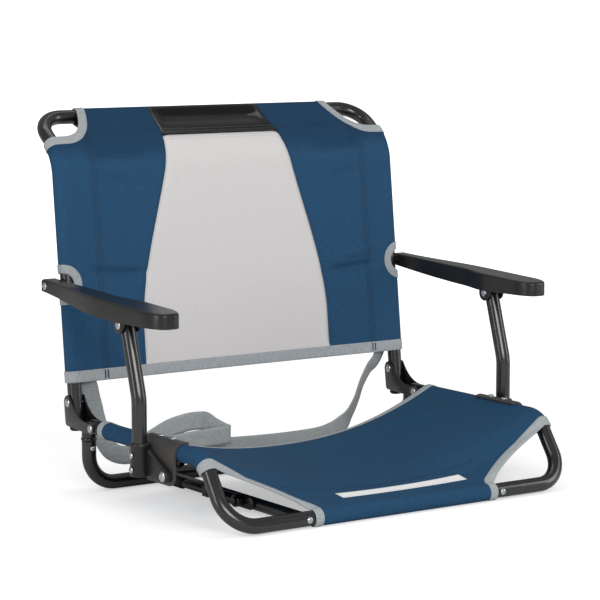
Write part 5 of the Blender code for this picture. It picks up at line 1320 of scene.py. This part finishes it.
# %% Screws and rivets
SEAT_GAP = 0.0003
HINGE_OUT, PIN_OUT, SOCKET_OUT, BOLT_OUT = TUBE_R + 0.0026, 0.0134, 0.0123, FIN_WALL + SEAT_GAP
SADDLE_TOP = RAIL_Z + 0.01495
screw = pan_head(0.0042, 0.0020, 0.0021, 0.006)
arm_bolt = pan_head(0.0048, 0.0018, 0.0030, 0.020)
leg_rivet = rivet_head(0.0034, 0.0018, 0.0021, 0.006)
hinge_rivet = rivet_head(0.0055, 0.0018, 0.0030, 2 * HINGE_OUT)
arm_pin = rivet_head(0.0055, 0.0018, 0.0030, 2 * PIN_OUT)
pivot_bolt = rivet_head(0.0068, 0.0024, 0.0030, FIN_IN + BOLT_OUT - SADDLE_OUT + 0.0035)
FRONTWARD, UPWARD = (0, -1, 0), (0, 0, 1)
FASTENERS = [
    ("front_screw_{}", "seat", screw, RUNNER_X, FRONT_Y - TUBE_R - SEAT_GAP, FRONT_Z, FRONTWARD),
    ("saddle_screw_{}_front", "seat", screw, HALF, -0.110003, SADDLE_TOP, UPWARD),
    ("saddle_screw_{}_rear", "seat", screw, HALF, -0.082003, SADDLE_TOP, UPWARD),
    ("leg_rivet_{}", "seat", leg_rivet, HALF, REAR_Y - TUBE_R - SEAT_GAP, 0.0587, FRONTWARD),
    ("hinge_pivot_{}", "seat", hinge_rivet, HALF + HINGE_OUT, HINGE_Y, RAIL_Z, None),
    ("upright_rivet_{}", "back", hinge_rivet, HALF + HINGE_OUT, rivet.y, rivet.z, None),
    ("arm_bolt_{}", "arm_{}", arm_bolt, boss_out + SEAT_GAP, ARM_PIVOT.y, ARM_PIVOT.z, None),
    ("arm_pin_{}", "arm_{}", arm_pin, POST_X + PIN_OUT, POST_TOP.y, POST_TOP.z, None),
    ("socket_screw_{}_lower", "post_{}", screw, POST_X + SOCKET_OUT, POST_Y, 0.062, None),
    ("socket_screw_{}_upper", "post_{}", screw, POST_X + SOCKET_OUT, POST_Y, 0.080, None),
    ("post_pivot_bolt_{}", "post_{}", pivot_bolt, FIN_IN + BOLT_OUT, POST_PIVOT.y, POST_PIVOT.z, None)]
for side, word in SIDES:
    for node, body, mesh, x, y, z, way in FASTENERS:
        bm = bmesh.new()
        put(bm, mesh, aim((side * x, y, z), way or (side, 0, 0)))
        stand_in(node.format(word), "plated", bm, "bright_zinc", body.format(word), 40)
print("fasteners", 2 * len(FASTENERS))

# %% [markdown]
# Every raw edge of the cloth is bound: a folded tape is sewn over it. The tape is drawn from the flat edge line. Each
# row goes across its face, round the fold and back along the rear, and the same function that lays the cloth lays it.

# %% Helper: tape over an edge
TAPE, TAPE_LIFT = 0.0006, CLOTH / 2 + 0.0007
TRIMS = {"seat": [], "mesh": [], "left": [], "right": []}


def skin(lay, a, b, height):
    """A point above the laid cloth, and the way that the cloth faces there."""
    step = 0.0004
    facing = (lay(a + step, b) - lay(a - step, b)).cross(lay(a, b + step) - lay(a, b - step)).normalized()
    return lay(a, b) + facing * height, facing


def edge_tape(lay, edge, width, inside, rear=0.0, is_flat=None, closed=False):
    """Rows of points of a tape that is folded over an edge. Inside says on which hand the cloth lies."""
    rows = []
    for index, (a, b) in enumerate(edge):
        before = edge[index - 1] if closed or index else edge[0]
        after = edge[(index + 1) % len(edge)] if closed else edge[min(index + 1, len(edge) - 1)]
        length = math.hypot(after[0] - before[0], after[1] - before[1])
        in_a, in_b = -(after[1] - before[1]) / length * inside, (after[0] - before[0]) / length * inside

        def inward(s, height):
            return skin(lay, a + in_a * s, b + in_b * s, height)

        row = [inward(width, CLOTH / 2)[0]]
        row += [inward(s, TAPE_LIFT)[0] for s in spread(width - TAPE, TAPE, 6)]
        spot, facing = inward(TAPE / 2, 0)
        away = (spot - lay(a + in_a * 2 * TAPE, b + in_b * 2 * TAPE)).normalized()
        under = TAPE_LIFT if is_flat and is_flat(a, b) else CLOTH / 2 + 0.0001
        for turn in spread(0, math.pi, 7)[1:]:
            height = TAPE_LIFT if turn < math.pi / 2 else under
            row.append(spot + facing * height * math.cos(turn) + away * TAPE_LIFT * math.sin(turn))
        if rear:
            row += [inward(s, -under)[0] for s in spread(TAPE, rear, 4)]
        rows.append(row)
    return rows + rows[:1] if closed else rows


def add_tape(name, rows, body, cloth):
    piece = make_piece(name, grid_sheet(rows), "grey_binding", body, angle=60)
    thicken(piece, TAPE)
    TRIMS[cloth].append(piece)


# %% [markdown]
# The seat's tape runs from under the front bar, up its end, along the curved corner and round the front of the rail
# sleeve. A second tape binds the rear edge.

# %% Seat binding
SEAT_TAPE, SEAT_TAPE_REAR = 0.0105, 0.009
FLAT_TO = LEAVE_X - 0.006
EDGES = {}
for side, word in SIDES:
    edge = [(POCKET_HALF, -POCKET_WRAP * t) for t in spread(0.57, 0, 25)]
    edge += [(a, cut_b(a)) for a in flank_places(61)[1:]]
    edge += [(LEAVE_X + SLEEVE_WRAP * t, SLEEVE_FRONT_B) for t in spread(0, 1, 41)[1:]]
    EDGES["seat_" + word] = [(side * a, b) for a, b in edge]
    rows = edge_tape(seat_place, EDGES["seat_" + word], SEAT_TAPE, side, SEAT_TAPE_REAR,
                     lambda a, b: abs(a) < FLAT_TO and b > 0.008)
    add_tape(f"seat_corner_{word}_tape", rows, "seat", "seat")
EDGES["seat_rear"] = [(a, SEAT_REAR_B) for a in spread(-LEAVE_X - SLEEVE_WRAP, LEAVE_X + SLEEVE_WRAP, 181)]
rows = edge_tape(seat_place, EDGES["seat_rear"], 0.011, -1, SEAT_TAPE_REAR, lambda a, b: abs(a) < FLAT_TO)
add_tape("seat_rear_tape", rows, "seat", "seat")
print("seat binding", len(TRIMS["seat"]), "tapes")

# %% [markdown]
# On the back, one tape hems the lower edge from upright to upright, and one binds each upper corner between its two
# sleeves. The half-moon in each sleeve, which lets the arm's bolt through, is bound by a closed loop.

# %% Back binding
HEM_TAPE, HEM_TAPE_REAR, HEM_FLAT_TO = 0.014, 0.012, 0.200
CORNER_TAPE, MOON_TAPE = 0.0108, 0.0105
MOON_START, MOON_END = math.radians(92), math.radians(268)
hem = [(a, HEM_RISE) for a in spread(-BACK_END, BACK_END, 201)]
rows = edge_tape(back_place, hem, HEM_TAPE, 1, HEM_TAPE_REAR, lambda a, b: abs(a) < HEM_FLAT_TO)
add_tape("back_hem_tape", rows, "back", "mesh")


def moon_edge(theta, rear):
    """A flat point on the half-moon's edge, on the sleeve's front or rear layer."""
    x = HALF_MOON_X + HALF_MOON_R * math.cos(theta)
    rise = ARM_RISE + HALF_MOON_R * math.sin(theta)
    leave = HALF + SLEEVE_R * math.cos(SIDE_TURN)
    if rear and x < leave:
        return HALF + SIDE_WRAP + SIDE_FLAT * (leave - x) / (leave - HALF + SEAM_INBOARD), rise
    if not rear and x < HALF:
        return x, rise
    angle = math.acos(min((x - HALF) / SLEEVE_R, 1.0)) * (1 if rear else -1)
    return HALF + SLEEVE_R * (angle + math.pi / 2), rise


for side, word in SIDES:
    edge = [(TOP_SLEEVE_HALF, TOP_END + OVER_BAR * t) for t in spread(1, 0, 31)]
    edge += [(a, corner_b(a)) for a in spread(TOP_SLEEVE_HALF, HALF, 49)[1:]]
    edge += [(a, SIDE_SLEEVE_TOP) for a in spread(HALF, BACK_END, 41)[1:]]
    EDGES["back_" + word] = [(side * a, b) for a, b in edge]
    rows = edge_tape(back_place, EDGES["back_" + word], CORNER_TAPE, -side)
    add_tape(f"back_corner_{word}_tape", rows, "back", word)
    loop = [moon_edge(t, False) for t in spread(MOON_START, MOON_END, 45)]
    loop += [moon_edge(t, True) for t in spread(MOON_END, MOON_START, 45)]
    EDGES["moon_" + word] = [(side * a, b) for a, b in loop]
    rows = edge_tape(back_place, EDGES["moon_" + word], MOON_TAPE, -side, closed=True)
    add_tape(f"half_moon_{word}_tape", rows, "back", word)
print("back binding", sum(len(TRIMS[cloth]) for cloth in ("mesh", "left", "right")), "tapes")

# %% [markdown]
# Stitches are short arcs of thread whose ends dip into the cloth. A picture of a seam could be used, but it would
# look flat from near by. One stitch is made by pulling a small ring along, and copies of it are laid along the seam
# lines every 3.6 mm, a little coarser than usual, so that they can be seen.


# %% Helper: rows of stitches
def one_stitch(length, thread):
    """One stitch along X, thickest in its middle."""
    bm = bmesh.new()
    middle = Vector((-length / 2, 0, -thread))
    made = bmesh.ops.create_circle(bm, segments=5, radius=thread * 0.4,
                                   matrix=Matrix.Translation(middle) @ Matrix.Rotation(math.pi / 2, 4, "Y"))
    ring = edges_at(made["verts"])
    for run, rise, scale in ((0.25, 1.2, 2.4), (0.5, 0.2, 1.1), (0.25, -1.4, 0.4)):
        step = Vector((length * run, 0, thread * rise))
        ring = feed(bm, ring, step)
        middle += step
        widen(bm, ring, (1, scale, scale), middle)
    bmesh.ops.holes_fill(bm, edges=bm.edges)
    bmesh.ops.recalc_face_normals(bm, faces=bm.faces)
    return to_mesh(bm, "stitch")


STITCH = one_stitch(0.0027, 0.00032)


def sew(bm, lay, seam, height, pitch=0.0036, size=1.0):
    """Lays stitches along a line of flat points."""
    line = [skin(lay, a, b, height) for a, b in seam]
    gone, due = 0.0, pitch / 2
    for (start, facing), (end, _) in zip(line, line[1:]):
        length = (end - start).length
        while due <= gone + length and length > 0:
            along = (end - start).normalized()
            across = facing.cross(along).normalized()
            turn = Matrix((along, across, along.cross(across))).transposed().to_4x4()
            put(bm, STITCH, Matrix.Translation(start.lerp(end, (due - gone) / length)) @ turn @ Matrix.Scale(size, 4))
            due += pitch
        gone += length


def inset_line(edge, inset, inside):
    """A line beside an edge, set in by a distance in the flat."""
    line = []
    for index, (a, b) in enumerate(edge):
        (a0, b0), (a1, b1) = edge[max(index - 1, 0)], edge[min(index + 1, len(edge) - 1)]
        length = math.hypot(a1 - a0, b1 - b0)
        line.append((a - (b1 - b0) / length * inside * inset, b + (a1 - a0) / length * inside * inset))
    return line


print("one stitch has", len(STITCH.polygons), "faces")

# %% [markdown]
# Rows of stitches hold each tape and close the seat's front pocket, whose ends are locked by bar tacks. A bar tack is
# a short, dense row.

# %% Stitching of the seat
ON_CLOTH, ON_TAPE = CLOTH / 2 + 0.0001, CLOTH / 2 + 0.0011
POCKET_SEAM_B, POCKET_SEAM_HALF = 0.0560, 0.1502
TACK = 0.0016


def add_stitches(name, rows, finish, body, cloth):
    piece = make_piece(name, rows, finish, body, angle=60)
    TRIMS[cloth].append(piece)
    print(name, len(piece.data.polygons), "faces")


rows = bmesh.new()
for side, word in SIDES:
    sew(rows, seat_place, inset_line(EDGES["seat_" + word], 0.0090, side), ON_TAPE)
sew(rows, seat_place, inset_line(EDGES["seat_rear"], 0.0095, -1), ON_TAPE)
add_stitches("seat_tape_stitches", rows, "thread_grey", "seat", "seat")
rows = bmesh.new()
for b in (POCKET_SEAM_B - 0.0035, POCKET_SEAM_B):
    sew(rows, seat_place, [(a, b) for a in spread(-POCKET_SEAM_HALF, POCKET_SEAM_HALF, 90)], ON_CLOTH)
for a in (POCKET_SEAM_HALF, -POCKET_SEAM_HALF):
    sew(rows, seat_place, [(a, POCKET_SEAM_B - 0.006), (a, POCKET_SEAM_B + 0.002)], ON_CLOTH, TACK)
add_stitches("seat_seam_stitches", rows, "thread_navy", "seat", "seat")

# %% [markdown]
# On the back, rows of stitches hold the tapes, close both side sleeves and the top sleeve, and join the mesh and the
# pocket to the panels. Bar tacks lock the ends of the hem and of the top seam.

# %% Stitching of the back
SEAM_TOP = 0.366
SIDE_ROWS = [SEAM_X - 0.0050, SEAM_X - 0.0010, SEAM_X + 0.0030]
TACKS = (0.2160, 0.2164, 0.2168, 0.2203, 0.2207, 0.2211)
BACK_TACK = 0.0012
tape_rows, cloth_rows, black_rows, pale_rows = (bmesh.new() for _ in range(4))
for b in (HEM_RISE + 0.0125, HEM_RISE + 0.0015):
    sew(tape_rows, back_place, [(a, b) for a in spread(-HALF - 0.02, HALF + 0.02, 160)], ON_TAPE)
for side, word in SIDES:
    sew(tape_rows, back_place, inset_line(EDGES["back_" + word], 0.0094, -side), ON_TAPE)
    sew(tape_rows, back_place, inset_line(EDGES["moon_" + word], 0.0092, -side), ON_TAPE)
    for a in SIDE_ROWS:
        seam = [(side * a, b) for b in spread(HEM_RISE + 0.015, SEAM_TOP, 90)]
        sew(cloth_rows, back_place, seam, ON_CLOTH, 0.0042, 1.4)
    seam = [(mesh_edge(side, b) + side * 0.0035, b) for b in spread(HEM_RISE + 0.015, TOP_END, 120)]
    sew(cloth_rows, back_place, seam, ON_CLOTH)
    for b in (TOP_SEAM + 0.0070, TOP_SEAM + 0.0115):
        seam = [(side * a, b) for a in spread(side * mesh_edge(side, TOP_SEAM) + 0.006, TACKS[0], 40)]
        sew(cloth_rows, back_place, seam, ON_CLOTH)
    for a in TACKS:
        seam = [(side * a, b) for b in spread(HEM_RISE + 0.002, HEM_RISE + 0.012, 8)]
        sew(cloth_rows, back_place, seam, ON_TAPE, BACK_TACK, 1.3)
        seam = [(side * (a - 0.005), b) for b in spread(TOP_SEAM - 0.004, TOP_SEAM + 0.006, 8)]
        sew(cloth_rows, back_place, seam, ON_CLOTH, BACK_TACK)
seam_left, seam_right = mesh_edge(-1, TOP_SEAM), mesh_edge(1, TOP_SEAM)
for row in (-0.0030, -0.0062):
    seam = [(a, TOP_SEAM + row) for a in spread(seam_left + 0.008, seam_right - 0.008, 80)]
    sew(pale_rows, back_place, seam, ON_CLOTH)
for row in (0.0025, 0.0055, 0.0110):
    seam = [(a, TOP_SEAM + row) for a in spread(seam_left + 0.004, seam_right - 0.004, 80)]
    sew(black_rows, back_place, seam, ON_CLOTH, 0.0040, 1.3)
for name, rows, finish in (("back_tape_stitches", tape_rows, "thread_grey"),
                           ("back_seam_stitches", cloth_rows, "thread_navy"),
                           ("pocket_seam_stitches", black_rows, "thread_black"),
                           ("mesh_seam_stitches", pale_rows, "thread_pale")):
    add_stitches(name, rows, finish, "back", "mesh")

# %% [markdown]
# A bare white strip is sewn on above the front pocket, with a row of stitches along each long side. A flat plane
# would cut through the cloth's curve, so the strip follows the seat's own function, a little above it.

# %% White strip
STRIP_LEFT, STRIP_RIGHT, STRIP_FRONT, STRIP_REAR = -0.0790, 0.1160, 0.0215, 0.0395
STRIP = 0.0005
points = [[skin(seat_place, a, b, CLOTH / 2 + 0.0004)[0] for a in spread(STRIP_LEFT, STRIP_RIGHT, 61)]
          for b in spread(STRIP_FRONT, STRIP_REAR, 13)]
strip = make_piece("white_strip", grid_sheet(points), "label_white", "seat", angle=60)
thicken(strip, STRIP)
TRIMS["seat"].append(strip)
rows = bmesh.new()
for b in (STRIP_FRONT + 0.00144, STRIP_REAR - 0.00144):
    seam = [(a, b) for a in spread(STRIP_LEFT + 0.00117, STRIP_RIGHT - 0.00117, 60)]
    sew(rows, seat_place, seam, CLOTH / 2 + 0.0007)
add_stitches("white_strip_stitches", rows, "thread_pale", "seat", "seat")
print("white strip", round(STRIP_RIGHT - STRIP_LEFT, 3), "m long")

# %% [markdown]
# The soft pieces are the seat, the mesh, the pocket, the strap and the two side panels, and their count is printed.
# The flat areas of the seat, mesh, pocket and panels come from their grids before they get their thickness, and the
# trims sewn to each are gathered in TRIMS. The sizes could be measured from the finished meshes, but the flat lengths
# are known here.

for side, word in SIDES:
    panel, area = panels[word]
print("sheets", 4 + len(panels))
